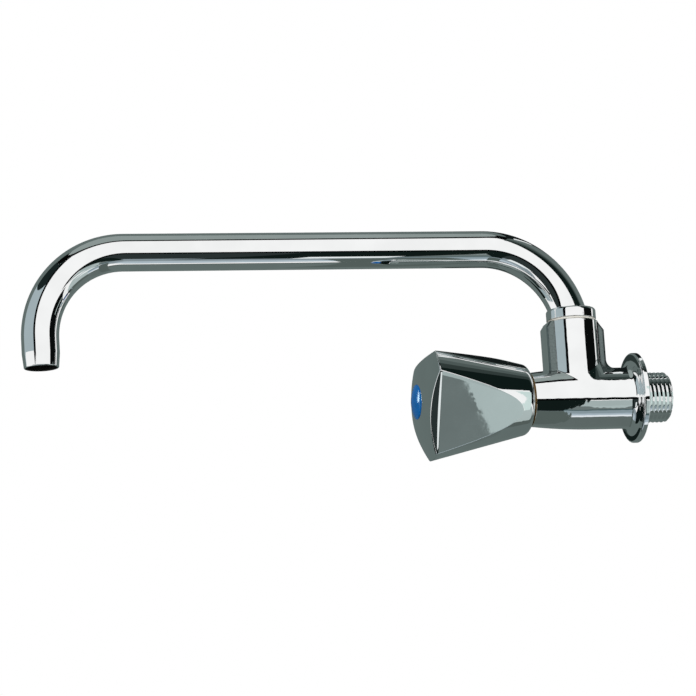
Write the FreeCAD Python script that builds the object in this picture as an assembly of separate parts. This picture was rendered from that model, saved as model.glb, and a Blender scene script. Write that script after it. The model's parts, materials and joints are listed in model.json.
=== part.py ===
import FreeCAD, Part
import math
import os

# Wall faucet with a swivelling swan-neck spout and a three-cornered knob.
# Millimetres. The origin is the centre of the wall flange's back face, on the inlet axis.
# +Y runs into the wall, the knob is towards -Y, the branch and its spout rise along +Z,
# and X = 0 is the plane of symmetry.

# ---- fits shared by all pieces ----
RUNNING = 0.05            # radial or end clearance of a piece that turns or slides in another
CLEAR = 0.3               # gap between pieces that only have to miss each other
SEAT_GAP = 0.1            # the shut washer's distance from its seat

# ---- inlet tail and wall flange ----
INLET_THREAD_RADIUS = 10.4775      # G1/2 external thread
INLET_THREAD_PITCH = 1.814
INLET_THREAD_DEPTH = 1.162
INLET_TAIL_LENGTH = 13.0
INLET_BORE_RADIUS = 6.5
FLANGE_RADIUS = 18.8
FLANGE_THICKNESS = 2.5
FLANGE_EDGE_ROUNDING = 0.8
FLANGE_ROOT_FILLET = 3.5

# ---- body and branch ----
ARM_RADIUS = 12.8
NECK_RADIUS = 11.2
NECK_FACE_Y = -46.8                # front face of the body, where the bonnet seats
ARM_TAPER_START_Y = -20.0          # the arm narrows towards the knob from here on
BRANCH_Y = -26.0                   # branch axis, in front of the wall
BRANCH_RADIUS = 10.7
BRANCH_TOP_Z = 32.5
RIB_REACH = 12.5                   # half the branch's size over its two ribs, along Y
RIB_HALF_WIDTH = 5.5
RIB_FRONT_SHOULDER = (1.7, 2.6)    # slope at a rib's top, along Y and Z, towards the knob
RIB_BACK_SHOULDER = (3.0, 4.2)     # the same towards the wall
RIB_ROUNDING = 1.2
BRANCH_WALL_FILLET = 3.0           # where the branch meets the arm, towards the wall
BRANCH_FRONT_FILLET = 0.5          # the same towards the knob
CHAMBER_RADIUS = 8.2
CHAMBER_BACK_Y = -17.5
SEAT_WEB_BACK_Y = -12.0            # the inlet bore ends here, the seat's web begins
PORT_RADIUS = 5.8                  # passage from the chamber up into the branch
SOCKET_FLOOR_Z = 10.2
SOCKET_RADIUS = 9.15

# ---- spout ----
TUBE_RADIUS = 7.7
TUBE_WALL = 0.85
SPOUT_REACH = 224.0                # branch axis to the drop's axis
SPOUT_HEIGHT = 64.2                # inlet axis to the tube's centreline
OUTLET_Z = 16.8
ROOT_BEND_RADIUS = 37.0
DROP_BEND_RADIUS = 35.5
SWAGE_LENGTH = 6.0                 # the drawn-in end of the drop
SWAGE_TAKE_IN = 0.6
OUTLET_LIP_ROUNDING = 0.35

# ---- spout ferrule, its seals and its snap ring ----
COLLAR_RADIUS = 10.4
COLLAR_HEIGHT = 4.6
COLLAR_EDGE_ROUNDING = 1.2
SLIP_RING_THICKNESS = 0.8
SLIP_RING_RADIUS = 10.1
FERRULE_BORE_RADIUS = 5.8
TUBE_END_Z = 21.0                  # where the tube ends inside the ferrule
FERRULE_SEALS_Z = {"lower": 13.4, "upper": 17.4}
FERRULE_SEAL_SECTION = 0.8         # section radius of the seal as squeezed
FERRULE_GROOVE_WIDTH = 2.2
SNAP_RING_Z = 25.0
SNAP_RING_THICKNESS = 1.2
SNAP_RING_REACH = 0.55             # how far it stands into the branch's groove
SNAP_RING_DEPTH = 0.8              # how deep it sits in the ferrule
SNAP_RING_GAP = 2.5                # cut in the split ring

# ---- seat, washer and jumper ----
SEAT_PORT_RADIUS = 4.8
SEAT_THREAD_RADIUS = 6.9
SEAT_FLANGE_RADIUS = 7.7
SEAT_FLANGE_THICKNESS = 0.9
SEAT_LIP_WIDTH = 0.9
SEAT_LIP_HEIGHT = 0.6
WASHER_RADIUS = 6.4
WASHER_THICKNESS = 3.4
JUMPER_PLATE_RADIUS = 6.9
JUMPER_PLATE_THICKNESS = 2.0
JUMPER_FLATS = 12.0                # across the jumper's six flats
JUMPER_LENGTH = 23.5               # from the washer's back to the open end
DRIVE_THREAD_RADIUS = 4.0
DRIVE_BORE_DEPTH = 13.5            # depth of the jumper's threaded bore
JUMPER_TRAVEL = 5.0                # full lift
SMALL_SCREW_RADIUS = 2.0           # M4
SMALL_SCREW_HEAD_RADIUS = 3.5
WASHER_SCREW_HEAD = 1.7
WASHER_SCREW_LENGTH = 9.0

# ---- headwork ----
BONNET_THREAD_RADIUS = 8.33        # G3/8 external thread
BONNET_THREAD_LENGTH = 11.3
BONNET_FLATS = 17.0
BONNET_HEXAGON_LENGTH = 5.5
BONNET_BARREL_RADIUS = 7.3
BONNET_LENGTH = 18.0               # from the body's face seal to the barrel's end
GASKET_THICKNESS = 0.7
GASKET_WIDTH = 1.0
THRUST_COLLAR_RADIUS = 5.65
THRUST_COLLAR_THICKNESS = 2.0
THRUST_POCKET_Y = -52.1            # the six-sided bore ends here
SLIP_WASHER_THICKNESS = 0.6
STEM_RADIUS = 4.5
STEM_SEALS_Y = {"inner": -58.2, "outer": -62.0}
STEM_SEAL_SECTION = 0.6
STEM_GROOVE_WIDTH = 1.7
CIRCLIP_THICKNESS = 0.9
CIRCLIP_RADIUS = 6.4
CIRCLIP_DEPTH = 0.75
CIRCLIP_GAP = 4.0
SPLINE_TIP_RADIUS = 4.0
SPLINE_DEPTH = 0.45
SPLINE_TEETH = 20
SPLINE_LENGTH = 10.0
SPINDLE_HOLE_DEPTH = 9.0

# ---- knob ----
KNOB_REAR_Y = -47.8
KNOB_RIM_Y = -90.2                 # where the cone meets the domed face
KNOB_REAR_RADIUS = 14.3
KNOB_RIM_RADIUS = 24.7
KNOB_FACE_DOME_RADIUS = 61.0
KNOB_REAR_ROUNDING = 3.2
KNOB_FLATS = 3
KNOB_FLAT_DISTANCE_RIM = 17.0      # axis to a flat, at the rim
KNOB_FLAT_DISTANCE_REAR = 15.5
KNOB_FLAT_TURN = -25.4             # direction of the first flat, from +X towards +Z
KNOB_BEVEL_Y = -89.9               # where a flat bends in towards the face
KNOB_BEVEL_LEAN = 13.0             # degrees from the knob's axis
KNOB_RIM_ROUNDING = 0.7
KNOB_CAVITY_REAR_RADIUS = 10.4
KNOB_CAVITY_FRONT_RADIUS = 12.6
KNOB_CAVITY_FLOOR_Y = -82.2
HUB_RADIUS = 9.0
HUB_END_Y = -68.5
INSERT_RADIUS = 6.5
INSERT_LENGTH = 10.5
INSERT_SPLINE_CLEARANCE = 0.03
KNOB_WEB = 2.5                     # between the insert's pocket and the screw's well
KNOB_SCREW_LENGTH = 10.5
SCREW_WELL_RADIUS = 4.3
SCREW_HEAD_HEIGHT = 2.4
LOCK_WASHER_THICKNESS = 0.9
LOCK_WASHER_GAP = 0.8

# ---- index button ----
BUTTON_RADIUS = 7.2
BUTTON_RECESS_DEPTH = 4.2          # below the edge of the recess in the domed face
BUTTON_DOME_HEIGHT = 1.7
BUTTON_PROUD = 0.3                 # its edge stands this far out of the knob's face
BUTTON_SKIRT_WALL = 1.5
BUTTON_PLATE = 1.6

# ---- places that follow from the sizes above ----
COLLAR_Z = BRANCH_TOP_Z + SLIP_RING_THICKNESS + RUNNING
COLLAR_TOP_Z = COLLAR_Z + COLLAR_HEIGHT
SPIGOT_RADIUS = SOCKET_RADIUS - RUNNING
SPIGOT_END_Z = SOCKET_FLOOR_Z + CLEAR
FERRULE_GROOVE_RADIUS = SPIGOT_RADIUS - 2 * FERRULE_SEAL_SECTION
SEAT_FACE_Y = CHAMBER_BACK_Y - SEAT_FLANGE_THICKNESS - SEAT_LIP_HEIGHT
WASHER_FACE_Y = SEAT_FACE_Y - SEAT_GAP
WASHER_BACK_Y = WASHER_FACE_Y - WASHER_THICKNESS
JUMPER_END_Y = WASHER_BACK_Y - JUMPER_LENGTH
BONNET_SEAT_Y = NECK_FACE_Y - GASKET_THICKNESS
BONNET_END_Y = BONNET_SEAT_Y - BONNET_LENGTH
THRUST_BACK_Y = THRUST_POCKET_Y - 2 * RUNNING
THRUST_FRONT_Y = THRUST_BACK_Y - THRUST_COLLAR_THICKNESS
SLIP_WASHER_FRONT_Y = THRUST_FRONT_Y - SLIP_WASHER_THICKNESS
THRUST_SHOULDER_Y = SLIP_WASHER_FRONT_Y - RUNNING
STEM_GROOVE_RADIUS = STEM_RADIUS - 2 * STEM_SEAL_SECTION
CIRCLIP_BACK_Y = BONNET_END_Y - RUNNING
CIRCLIP_FRONT_Y = CIRCLIP_BACK_Y - CIRCLIP_THICKNESS
SPLINE_BACK_Y = HUB_END_Y + CLEAR
SPINDLE_END_Y = SPLINE_BACK_Y - SPLINE_LENGTH
INSERT_END_Y = HUB_END_Y - INSERT_LENGTH
SCREW_SEAT_Y = INSERT_END_Y - KNOB_WEB
SCREW_HEAD_Y = SCREW_SEAT_Y - LOCK_WASHER_THICKNESS
FACE_DOME_CENTRE_Y = KNOB_RIM_Y + math.sqrt(KNOB_FACE_DOME_RADIUS ** 2 - KNOB_RIM_RADIUS ** 2)
BUTTON_EDGE_Y = FACE_DOME_CENTRE_Y - math.sqrt(KNOB_FACE_DOME_RADIUS ** 2 - BUTTON_RADIUS ** 2)
BUTTON_FLOOR_Y = BUTTON_EDGE_Y + BUTTON_RECESS_DEPTH

ORIGIN = FreeCAD.Vector(0, 0, 0)
TO_WALL = FreeCAD.Vector(0, 1, 0)
UP = FreeCAD.Vector(0, 0, 1)


def along_y(radius, y_one, y_two):
    """A round bar about the inlet axis between two planes."""
    low = min(y_one, y_two)
    return Part.makeCylinder(radius, abs(y_two - y_one), FreeCAD.Vector(0, low, 0), TO_WALL)


def upright(radius, z_low, z_high):
    """A round bar about the branch axis between two heights."""
    return Part.makeCylinder(radius, z_high - z_low, FreeCAD.Vector(0, BRANCH_Y, z_low), UP)


def sleeve_y(outer, inner, y_one, y_two):
    return along_y(outer, y_one, y_two).cut(along_y(inner, y_one, y_two))


def sleeve_z(outer, inner, z_low, z_high):
    return upright(outer, z_low, z_high).cut(upright(inner, z_low, z_high))


def turned(edges):
    """A solid turned about the inlet axis from edges in the X-Y plane (X is the radius)."""
    outline = Part.Wire(edges)
    return Part.Face(outline).revolve(ORIGIN, TO_WALL, 360)


def lines(points):
    """Straight edges through points given as (radius, y)."""
    corners = [FreeCAD.Vector(radius, y, 0) for radius, y in points]
    return [Part.makeLine(start, end) for start, end in zip(corners, corners[1:])]


def hexagon_y(across_flats, y_one, y_two):
    """A six-sided bar about the inlet axis, with two flats level."""
    low = min(y_one, y_two)
    reach = across_flats / math.sqrt(3)
    angles = [math.radians(60 * step) for step in range(7)]
    corners = [FreeCAD.Vector(reach * math.cos(a), low, reach * math.sin(a)) for a in angles]
    face = Part.Face(Part.makePolygon(corners))
    return face.extrude(TO_WALL * abs(y_two - y_one))


def seal_y(groove_radius, section, y):
    """A round seal about the inlet axis that sits on a groove's floor."""
    return Part.makeTorus(groove_radius + section, section, FreeCAD.Vector(0, y, 0), TO_WALL)


def slot_block(width, reach, y_one, y_two):
    """The block that cuts a split ring open, upwards from the inlet axis."""
    low = min(y_one, y_two)
    return Part.makeBox(width, abs(y_two - y_one), reach, FreeCAD.Vector(-width / 2, low, 0))


def edges_that(shape, wanted):
    return [edge for edge in shape.Edges if wanted(edge)]


def middle(edge):
    return edge.valueAt((edge.FirstParameter + edge.LastParameter) / 2)


def off_axis(point):
    """Distance of a point from the inlet axis."""
    return math.hypot(point.x, point.z)


def save(name, shape):
    solid = shape.removeSplitter()
    if not solid.isValid():
        raise ValueError(name + " is not a valid solid")
    solid.exportStep("parts/" + name + ".step")


# ---- the body ----

def arm_outline():
    """The body's turned outline: tail, flange, arm, and the long arc down to the neck."""
    tail_chamfer = INLET_THREAD_DEPTH
    taper_run = ARM_TAPER_START_Y - NECK_FACE_Y
    drop = ARM_RADIUS - NECK_RADIUS
    arc_radius = (taper_run ** 2 + drop ** 2) / (2 * drop)
    half_turn = math.asin(taper_run / arc_radius) / 2
    arc_middle = FreeCAD.Vector(ARM_RADIUS - arc_radius * (1 - math.cos(half_turn)),
                                ARM_TAPER_START_Y - arc_radius * math.sin(half_turn), 0)
    back = lines([(0, INLET_TAIL_LENGTH),
                  (INLET_THREAD_RADIUS - tail_chamfer, INLET_TAIL_LENGTH),
                  (INLET_THREAD_RADIUS, INLET_TAIL_LENGTH - tail_chamfer),
                  (INLET_THREAD_RADIUS, 0),
                  (FLANGE_RADIUS, 0),
                  (FLANGE_RADIUS, -FLANGE_THICKNESS),
                  (ARM_RADIUS, -FLANGE_THICKNESS),
                  (ARM_RADIUS, ARM_TAPER_START_Y)])
    taper = Part.Arc(FreeCAD.Vector(ARM_RADIUS, ARM_TAPER_START_Y, 0), arc_middle,
                     FreeCAD.Vector(NECK_RADIUS, NECK_FACE_Y, 0)).toShape()
    front = lines([(NECK_RADIUS, NECK_FACE_Y), (0, NECK_FACE_Y), (0, INLET_TAIL_LENGTH)])
    return back + [taper] + front


def thread_grooves():
    """The tail's thread as V grooves, one to each pitch, from the flange to the end."""
    groove_count = int(INLET_TAIL_LENGTH / INLET_THREAD_PITCH)
    floor = INLET_THREAD_RADIUS - INLET_THREAD_DEPTH
    half_mouth = INLET_THREAD_PITCH * 0.45
    half_floor = INLET_THREAD_PITCH * 0.07
    grooves = []
    for turn in range(groove_count):
        y = INLET_THREAD_PITCH * (turn + 0.6)
        grooves.append(turned(lines([(INLET_THREAD_RADIUS + RUNNING, y - half_mouth),
                                     (floor, y - half_floor),
                                     (floor, y + half_floor),
                                     (INLET_THREAD_RADIUS + RUNNING, y + half_mouth),
                                     (INLET_THREAD_RADIUS + RUNNING, y - half_mouth)])))
    return grooves


def branch_ribs():
    """The pair of ribs along the branch, as one block with sloped shoulders."""
    front_slope, front_drop = RIB_FRONT_SHOULDER
    back_slope, back_drop = RIB_BACK_SHOULDER
    outline = [(-RIB_REACH, 0), (-RIB_REACH, BRANCH_TOP_Z - front_drop),
               (-RIB_REACH + front_slope, BRANCH_TOP_Z), (RIB_REACH - back_slope, BRANCH_TOP_Z),
               (RIB_REACH, BRANCH_TOP_Z - back_drop), (RIB_REACH, 0), (-RIB_REACH, 0)]
    corners = [FreeCAD.Vector(-RIB_HALF_WIDTH, BRANCH_Y + y, z) for y, z in outline]
    block = Part.Face(Part.makePolygon(corners)).extrude(FreeCAD.Vector(2 * RIB_HALF_WIDTH, 0, 0))
    outer_corners = edges_that(block, lambda edge: abs(middle(edge).x) > RIB_HALF_WIDTH - 0.01
                               and abs(middle(edge).y - BRANCH_Y) > RIB_REACH - front_slope)
    return block.makeFillet(RIB_ROUNDING, outer_corners)


def round_branch_foot(body, radius, is_on_side):
    """Rounds the seam of branch and arm on one side of the branch's axis."""
    seam = edges_that(body, lambda edge: is_on_side(middle(edge).y - BRANCH_Y)
                      and abs(middle(edge).y - BRANCH_Y) < RIB_REACH + 0.01
                      and ARM_RADIUS / 3 < middle(edge).z < ARM_RADIUS + 0.01)
    return body.makeFillet(radius, seam)


def valve_body():
    arm = turned(arm_outline())
    flange_rim = edges_that(arm, lambda edge: abs(off_axis(edge.valueAt(0)) - FLANGE_RADIUS) < 0.01
                            and abs(middle(edge).y + FLANGE_THICKNESS) < 0.01)
    arm = arm.makeFillet(FLANGE_EDGE_ROUNDING, flange_rim)
    flange_root = edges_that(arm, lambda edge: abs(off_axis(edge.valueAt(0)) - ARM_RADIUS) < 0.01
                             and abs(middle(edge).y + FLANGE_THICKNESS) < 0.01)
    arm = arm.makeFillet(FLANGE_ROOT_FILLET, flange_root)
    branch = upright(BRANCH_RADIUS, 0, BRANCH_TOP_Z).fuse(branch_ribs()).removeSplitter()
    body = arm.fuse(branch).removeSplitter()
    body = round_branch_foot(body, BRANCH_WALL_FILLET, lambda offset: offset > 0)
    body = round_branch_foot(body, BRANCH_FRONT_FILLET, lambda offset: offset < 0)
    for groove in thread_grooves():
        body = body.cut(groove)
    for hollow in body_hollows():
        body = body.cut(hollow)
    return body


def body_hollows():
    snap_groove_radius = SPIGOT_RADIUS + SNAP_RING_REACH + RUNNING
    snap_groove_half = SNAP_RING_THICKNESS / 2 + CLEAR / 2
    return [along_y(INLET_BORE_RADIUS, INLET_TAIL_LENGTH, SEAT_WEB_BACK_Y),
            along_y(SEAT_THREAD_RADIUS, SEAT_WEB_BACK_Y, CHAMBER_BACK_Y),
            along_y(CHAMBER_RADIUS, CHAMBER_BACK_Y, NECK_FACE_Y),
            along_y(BONNET_THREAD_RADIUS, NECK_FACE_Y + BONNET_THREAD_LENGTH + CLEAR, NECK_FACE_Y),
            upright(PORT_RADIUS, 0, SOCKET_FLOOR_Z),
            upright(SOCKET_RADIUS, SOCKET_FLOOR_Z, BRANCH_TOP_Z),
            upright(snap_groove_radius, SNAP_RING_Z - snap_groove_half, SNAP_RING_Z + snap_groove_half)]


# ---- the spout ----

def bent_rod(radius, low_end_z, outlet_z):
    """A solid rod along the spout: up the branch, over two bends, and down the drop."""
    section = Part.Face(Part.Wire(Part.makeCircle(radius, FreeCAD.Vector(0, BRANCH_Y, low_end_z), UP)))
    root_top = SPOUT_HEIGHT - ROOT_BEND_RADIUS
    rise = section.extrude(UP * (root_top - low_end_z))

    bend_start = section.translated(UP * (root_top - low_end_z))
    root_centre = FreeCAD.Vector(0, BRANCH_Y - ROOT_BEND_RADIUS, root_top)
    root_bend = bend_start.revolve(root_centre, FreeCAD.Vector(1, 0, 0), 90)

    run_start = FreeCAD.Vector(0, BRANCH_Y - ROOT_BEND_RADIUS, SPOUT_HEIGHT)
    run_length = SPOUT_REACH - ROOT_BEND_RADIUS - DROP_BEND_RADIUS
    run = Part.makeCylinder(radius, run_length, run_start, -TO_WALL)

    drop_y = BRANCH_Y - SPOUT_REACH
    drop_top = SPOUT_HEIGHT - DROP_BEND_RADIUS
    drop_section = Part.Face(Part.Wire(Part.makeCircle(radius, FreeCAD.Vector(0, drop_y, drop_top), UP)))
    drop_centre = FreeCAD.Vector(0, drop_y + DROP_BEND_RADIUS, drop_top)
    drop_bend = drop_section.revolve(drop_centre, FreeCAD.Vector(1, 0, 0), -90)
    drop = drop_section.extrude(-UP * (drop_top - outlet_z))
    return rise.fuse([root_bend, run, drop_bend, drop]).removeSplitter()


def swage(take_in_radius, wide_radius):
    """The ring that comes off the drop's end, so that it narrows towards the outlet."""
    centre = FreeCAD.Vector(0, BRANCH_Y - SPOUT_REACH, OUTLET_Z)
    block = Part.makeCylinder(wide_radius + CLEAR, SWAGE_LENGTH, centre, UP)
    return block.cut(Part.makeCone(take_in_radius, wide_radius, SWAGE_LENGTH, centre, UP))


def spout_tube():
    outside = bent_rod(TUBE_RADIUS, TUBE_END_Z, OUTLET_Z)
    outside = outside.cut(swage(TUBE_RADIUS - SWAGE_TAKE_IN, TUBE_RADIUS))
    bore_radius = TUBE_RADIUS - TUBE_WALL
    inside = bent_rod(bore_radius, TUBE_END_Z, OUTLET_Z)
    inside = inside.cut(swage(bore_radius - SWAGE_TAKE_IN, bore_radius))
    tube = outside.cut(inside)
    lip = edges_that(tube, lambda edge: abs(middle(edge).z - OUTLET_Z) < 0.01)
    return tube.makeFillet(OUTLET_LIP_ROUNDING, lip)


def spout_ferrule():
    """The end bush: a collar on the branch and a grooved spigot in its socket."""
    collar = upright(COLLAR_RADIUS, COLLAR_Z, COLLAR_TOP_Z)
    top_edge = edges_that(collar, lambda edge: abs(middle(edge).z - COLLAR_TOP_Z) < 0.01)
    collar = collar.makeFillet(COLLAR_EDGE_ROUNDING, top_edge)
    ferrule = collar.fuse(upright(SPIGOT_RADIUS, SPIGOT_END_Z, COLLAR_Z))
    ferrule = ferrule.cut(upright(FERRULE_BORE_RADIUS, SPIGOT_END_Z, TUBE_END_Z))
    ferrule = ferrule.cut(bent_rod(TUBE_RADIUS, TUBE_END_Z, OUTLET_Z))
    for seal_z in FERRULE_SEALS_Z.values():
        ferrule = ferrule.cut(sleeve_z(SPIGOT_RADIUS + CLEAR, FERRULE_GROOVE_RADIUS,
                                       seal_z - FERRULE_GROOVE_WIDTH / 2,
                                       seal_z + FERRULE_GROOVE_WIDTH / 2))
    groove_half = SNAP_RING_THICKNESS / 2 + RUNNING
    return ferrule.cut(sleeve_z(SPIGOT_RADIUS + CLEAR, SPIGOT_RADIUS - SNAP_RING_DEPTH,
                                SNAP_RING_Z - groove_half, SNAP_RING_Z + groove_half))


def ferrule_o_ring(seal_z):
    return Part.makeTorus(FERRULE_GROOVE_RADIUS + FERRULE_SEAL_SECTION, FERRULE_SEAL_SECTION,
                          FreeCAD.Vector(0, BRANCH_Y, seal_z), UP)


def spout_snap_ring():
    outer = SPIGOT_RADIUS + SNAP_RING_REACH
    low = SNAP_RING_Z - SNAP_RING_THICKNESS / 2
    ring = sleeve_z(outer, SPIGOT_RADIUS - SNAP_RING_DEPTH, low, low + SNAP_RING_THICKNESS)
    gap = Part.makeBox(SNAP_RING_GAP, outer, SNAP_RING_THICKNESS,
                       FreeCAD.Vector(-SNAP_RING_GAP / 2, BRANCH_Y, low))
    return ring.cut(gap)


def spout_slip_ring():
    return sleeve_z(SLIP_RING_RADIUS, SOCKET_RADIUS, BRANCH_TOP_Z, BRANCH_TOP_Z + SLIP_RING_THICKNESS)


# ---- seat, washer and jumper ----

def valve_seat():
    """A screwed-in ring with a flange in the chamber and a raised lip round the port."""
    seat = along_y(SEAT_THREAD_RADIUS, SEAT_WEB_BACK_Y, CHAMBER_BACK_Y)
    flange_front = CHAMBER_BACK_Y - SEAT_FLANGE_THICKNESS
    seat = seat.fuse(along_y(SEAT_FLANGE_RADIUS, CHAMBER_BACK_Y, flange_front))
    seat = seat.fuse(along_y(SEAT_PORT_RADIUS + SEAT_LIP_WIDTH, flange_front, SEAT_FACE_Y))
    return seat.cut(along_y(SEAT_PORT_RADIUS, SEAT_WEB_BACK_Y, SEAT_FACE_Y))


def tap_washer():
    return sleeve_y(WASHER_RADIUS, SMALL_SCREW_RADIUS, WASHER_FACE_Y, WASHER_BACK_Y)


def washer_screw():
    head = along_y(SMALL_SCREW_HEAD_RADIUS, WASHER_FACE_Y + WASHER_SCREW_HEAD, WASHER_FACE_Y)
    shank = along_y(SMALL_SCREW_RADIUS, WASHER_FACE_Y, WASHER_FACE_Y - WASHER_SCREW_LENGTH)
    slot_width = WASHER_SCREW_HEAD / 2
    slot = Part.makeBox(2 * SMALL_SCREW_HEAD_RADIUS, slot_width, slot_width,
                        FreeCAD.Vector(-SMALL_SCREW_HEAD_RADIUS,
                                       WASHER_FACE_Y + WASHER_SCREW_HEAD - slot_width, -slot_width / 2))
    return head.fuse(shank).cut(slot)


def jumper():
    """The washer's plate with a six-sided shank that slides in the bonnet."""
    plate_front = WASHER_BACK_Y - JUMPER_PLATE_THICKNESS
    solid = along_y(JUMPER_PLATE_RADIUS, WASHER_BACK_Y, plate_front)
    solid = solid.fuse(hexagon_y(JUMPER_FLATS, plate_front, JUMPER_END_Y))
    solid = solid.cut(along_y(DRIVE_THREAD_RADIUS + RUNNING, JUMPER_END_Y + DRIVE_BORE_DEPTH,
                              JUMPER_END_Y))
    screw_tip = WASHER_FACE_Y - WASHER_SCREW_LENGTH
    return solid.cut(along_y(SMALL_SCREW_RADIUS, WASHER_BACK_Y, screw_tip))


# ---- headwork ----

def headwork_bonnet():
    thread_back = NECK_FACE_Y + BONNET_THREAD_LENGTH
    hexagon_front = BONNET_SEAT_Y - BONNET_HEXAGON_LENGTH
    bonnet = along_y(BONNET_THREAD_RADIUS, thread_back, BONNET_SEAT_Y)
    bonnet = bonnet.fuse(hexagon_y(BONNET_FLATS, BONNET_SEAT_Y, hexagon_front))
    bonnet = bonnet.fuse(along_y(BONNET_BARREL_RADIUS, hexagon_front, BONNET_END_Y))
    bonnet = bonnet.cut(hexagon_y(JUMPER_FLATS + 2 * RUNNING, thread_back, THRUST_POCKET_Y))
    bonnet = bonnet.cut(along_y(THRUST_COLLAR_RADIUS + RUNNING, THRUST_POCKET_Y, THRUST_SHOULDER_Y))
    return bonnet.cut(along_y(STEM_RADIUS + RUNNING, THRUST_SHOULDER_Y, BONNET_END_Y))


def bonnet_gasket():
    return sleeve_y(BONNET_THREAD_RADIUS + GASKET_WIDTH, BONNET_THREAD_RADIUS,
                    NECK_FACE_Y, BONNET_SEAT_Y)


def splined_bar(tip_radius, y_one, y_two):
    """A bar with triangular teeth: its corners go in and out between two radii."""
    low = min(y_one, y_two)
    corners = []
    for step in range(2 * SPLINE_TEETH + 1):
        angle = math.pi * step / SPLINE_TEETH
        radius = tip_radius - SPLINE_DEPTH * (step % 2)
        corners.append(FreeCAD.Vector(radius * math.cos(angle), low, radius * math.sin(angle)))
    return Part.Face(Part.makePolygon(corners)).extrude(TO_WALL * abs(y_two - y_one))


def spindle():
    drive_tip_y = JUMPER_END_Y + DRIVE_BORE_DEPTH - JUMPER_TRAVEL - 2 * CLEAR
    bar = along_y(DRIVE_THREAD_RADIUS, drive_tip_y, THRUST_BACK_Y)
    bar = bar.fuse(along_y(THRUST_COLLAR_RADIUS, THRUST_BACK_Y, THRUST_FRONT_Y))
    bar = bar.fuse(along_y(STEM_RADIUS, THRUST_FRONT_Y, SPLINE_BACK_Y))
    bar = bar.fuse(splined_bar(SPLINE_TIP_RADIUS, SPLINE_BACK_Y, SPINDLE_END_Y))
    for seal_y_place in STEM_SEALS_Y.values():
        bar = bar.cut(sleeve_y(STEM_RADIUS + CLEAR, STEM_GROOVE_RADIUS,
                               seal_y_place - STEM_GROOVE_WIDTH / 2,
                               seal_y_place + STEM_GROOVE_WIDTH / 2))
    bar = bar.cut(sleeve_y(STEM_RADIUS + CLEAR, STEM_RADIUS - CIRCLIP_DEPTH,
                           CIRCLIP_BACK_Y, CIRCLIP_FRONT_Y))
    return bar.cut(along_y(SMALL_SCREW_RADIUS, SPINDLE_END_Y + SPINDLE_HOLE_DEPTH, SPINDLE_END_Y))


def spindle_slip_washer():
    return sleeve_y(THRUST_COLLAR_RADIUS, STEM_RADIUS, THRUST_FRONT_Y, SLIP_WASHER_FRONT_Y)


def spindle_circlip():
    ring = sleeve_y(CIRCLIP_RADIUS, STEM_RADIUS - CIRCLIP_DEPTH, CIRCLIP_BACK_Y, CIRCLIP_FRONT_Y)
    return ring.cut(slot_block(CIRCLIP_GAP, CIRCLIP_RADIUS, CIRCLIP_BACK_Y, CIRCLIP_FRONT_Y))


# ---- knob ----

def knob_blank():
    """The knob before its flats are cut: rounded rear, cone, rounded rim and domed face."""
    apex_y = FACE_DOME_CENTRE_Y - KNOB_FACE_DOME_RADIUS
    half_angle = math.asin(KNOB_RIM_RADIUS / KNOB_FACE_DOME_RADIUS) / 2
    dome_middle = FreeCAD.Vector(KNOB_FACE_DOME_RADIUS * math.sin(half_angle),
                                 FACE_DOME_CENTRE_Y - KNOB_FACE_DOME_RADIUS * math.cos(half_angle), 0)
    dome = Part.Arc(FreeCAD.Vector(KNOB_RIM_RADIUS, KNOB_RIM_Y, 0), dome_middle,
                    FreeCAD.Vector(0, apex_y, 0)).toShape()
    side = lines([(0, KNOB_REAR_Y), (KNOB_REAR_RADIUS, KNOB_REAR_Y), (KNOB_RIM_RADIUS, KNOB_RIM_Y)])
    axis = lines([(0, apex_y), (0, KNOB_REAR_Y)])
    blank = turned(side + [dome] + axis)
    rim = edges_that(blank, lambda edge: abs(middle(edge).y - KNOB_RIM_Y) < 0.01)
    blank = blank.makeFillet(KNOB_RIM_ROUNDING, rim)
    rear = edges_that(blank, lambda edge: abs(middle(edge).y - KNOB_REAR_Y) < 0.01
                      and off_axis(edge.valueAt(0)) > KNOB_REAR_RADIUS - 0.01)
    return blank.makeFillet(KNOB_REAR_ROUNDING, rear)


def flat_cutter(direction):
    """What comes off outside one flat and its bevel; direction is from +X towards +Z."""
    reach = 2 * KNOB_RIM_RADIUS
    lean = (KNOB_FLAT_DISTANCE_RIM - KNOB_FLAT_DISTANCE_REAR) / (KNOB_REAR_Y - KNOB_RIM_Y)
    rear_y = KNOB_REAR_Y + reach
    rear_distance = KNOB_FLAT_DISTANCE_REAR - lean * reach
    bevel_distance = KNOB_FLAT_DISTANCE_RIM - lean * (KNOB_BEVEL_Y - KNOB_RIM_Y)
    front_y = KNOB_BEVEL_Y - KNOB_RIM_RADIUS
    front_distance = bevel_distance - KNOB_RIM_RADIUS * math.tan(math.radians(KNOB_BEVEL_LEAN))
    outline = [(rear_distance, rear_y), (2 * reach, rear_y), (2 * reach, front_y),
               (front_distance, front_y), (bevel_distance, KNOB_BEVEL_Y), (rear_distance, rear_y)]
    corners = [FreeCAD.Vector(x, y, -reach) for x, y in outline]
    cutter = Part.Face(Part.makePolygon(corners)).extrude(UP * 2 * reach)
    cutter.rotate(ORIGIN, TO_WALL, -direction)
    return cutter


def knob():
    solid = knob_blank()
    for flat in range(KNOB_FLATS):
        solid = solid.cut(flat_cutter(KNOB_FLAT_TURN + flat * 360 / KNOB_FLATS))
    for hollow in knob_hollows():
        solid = solid.cut(hollow)
    return solid.fuse(knob_hub())


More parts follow.
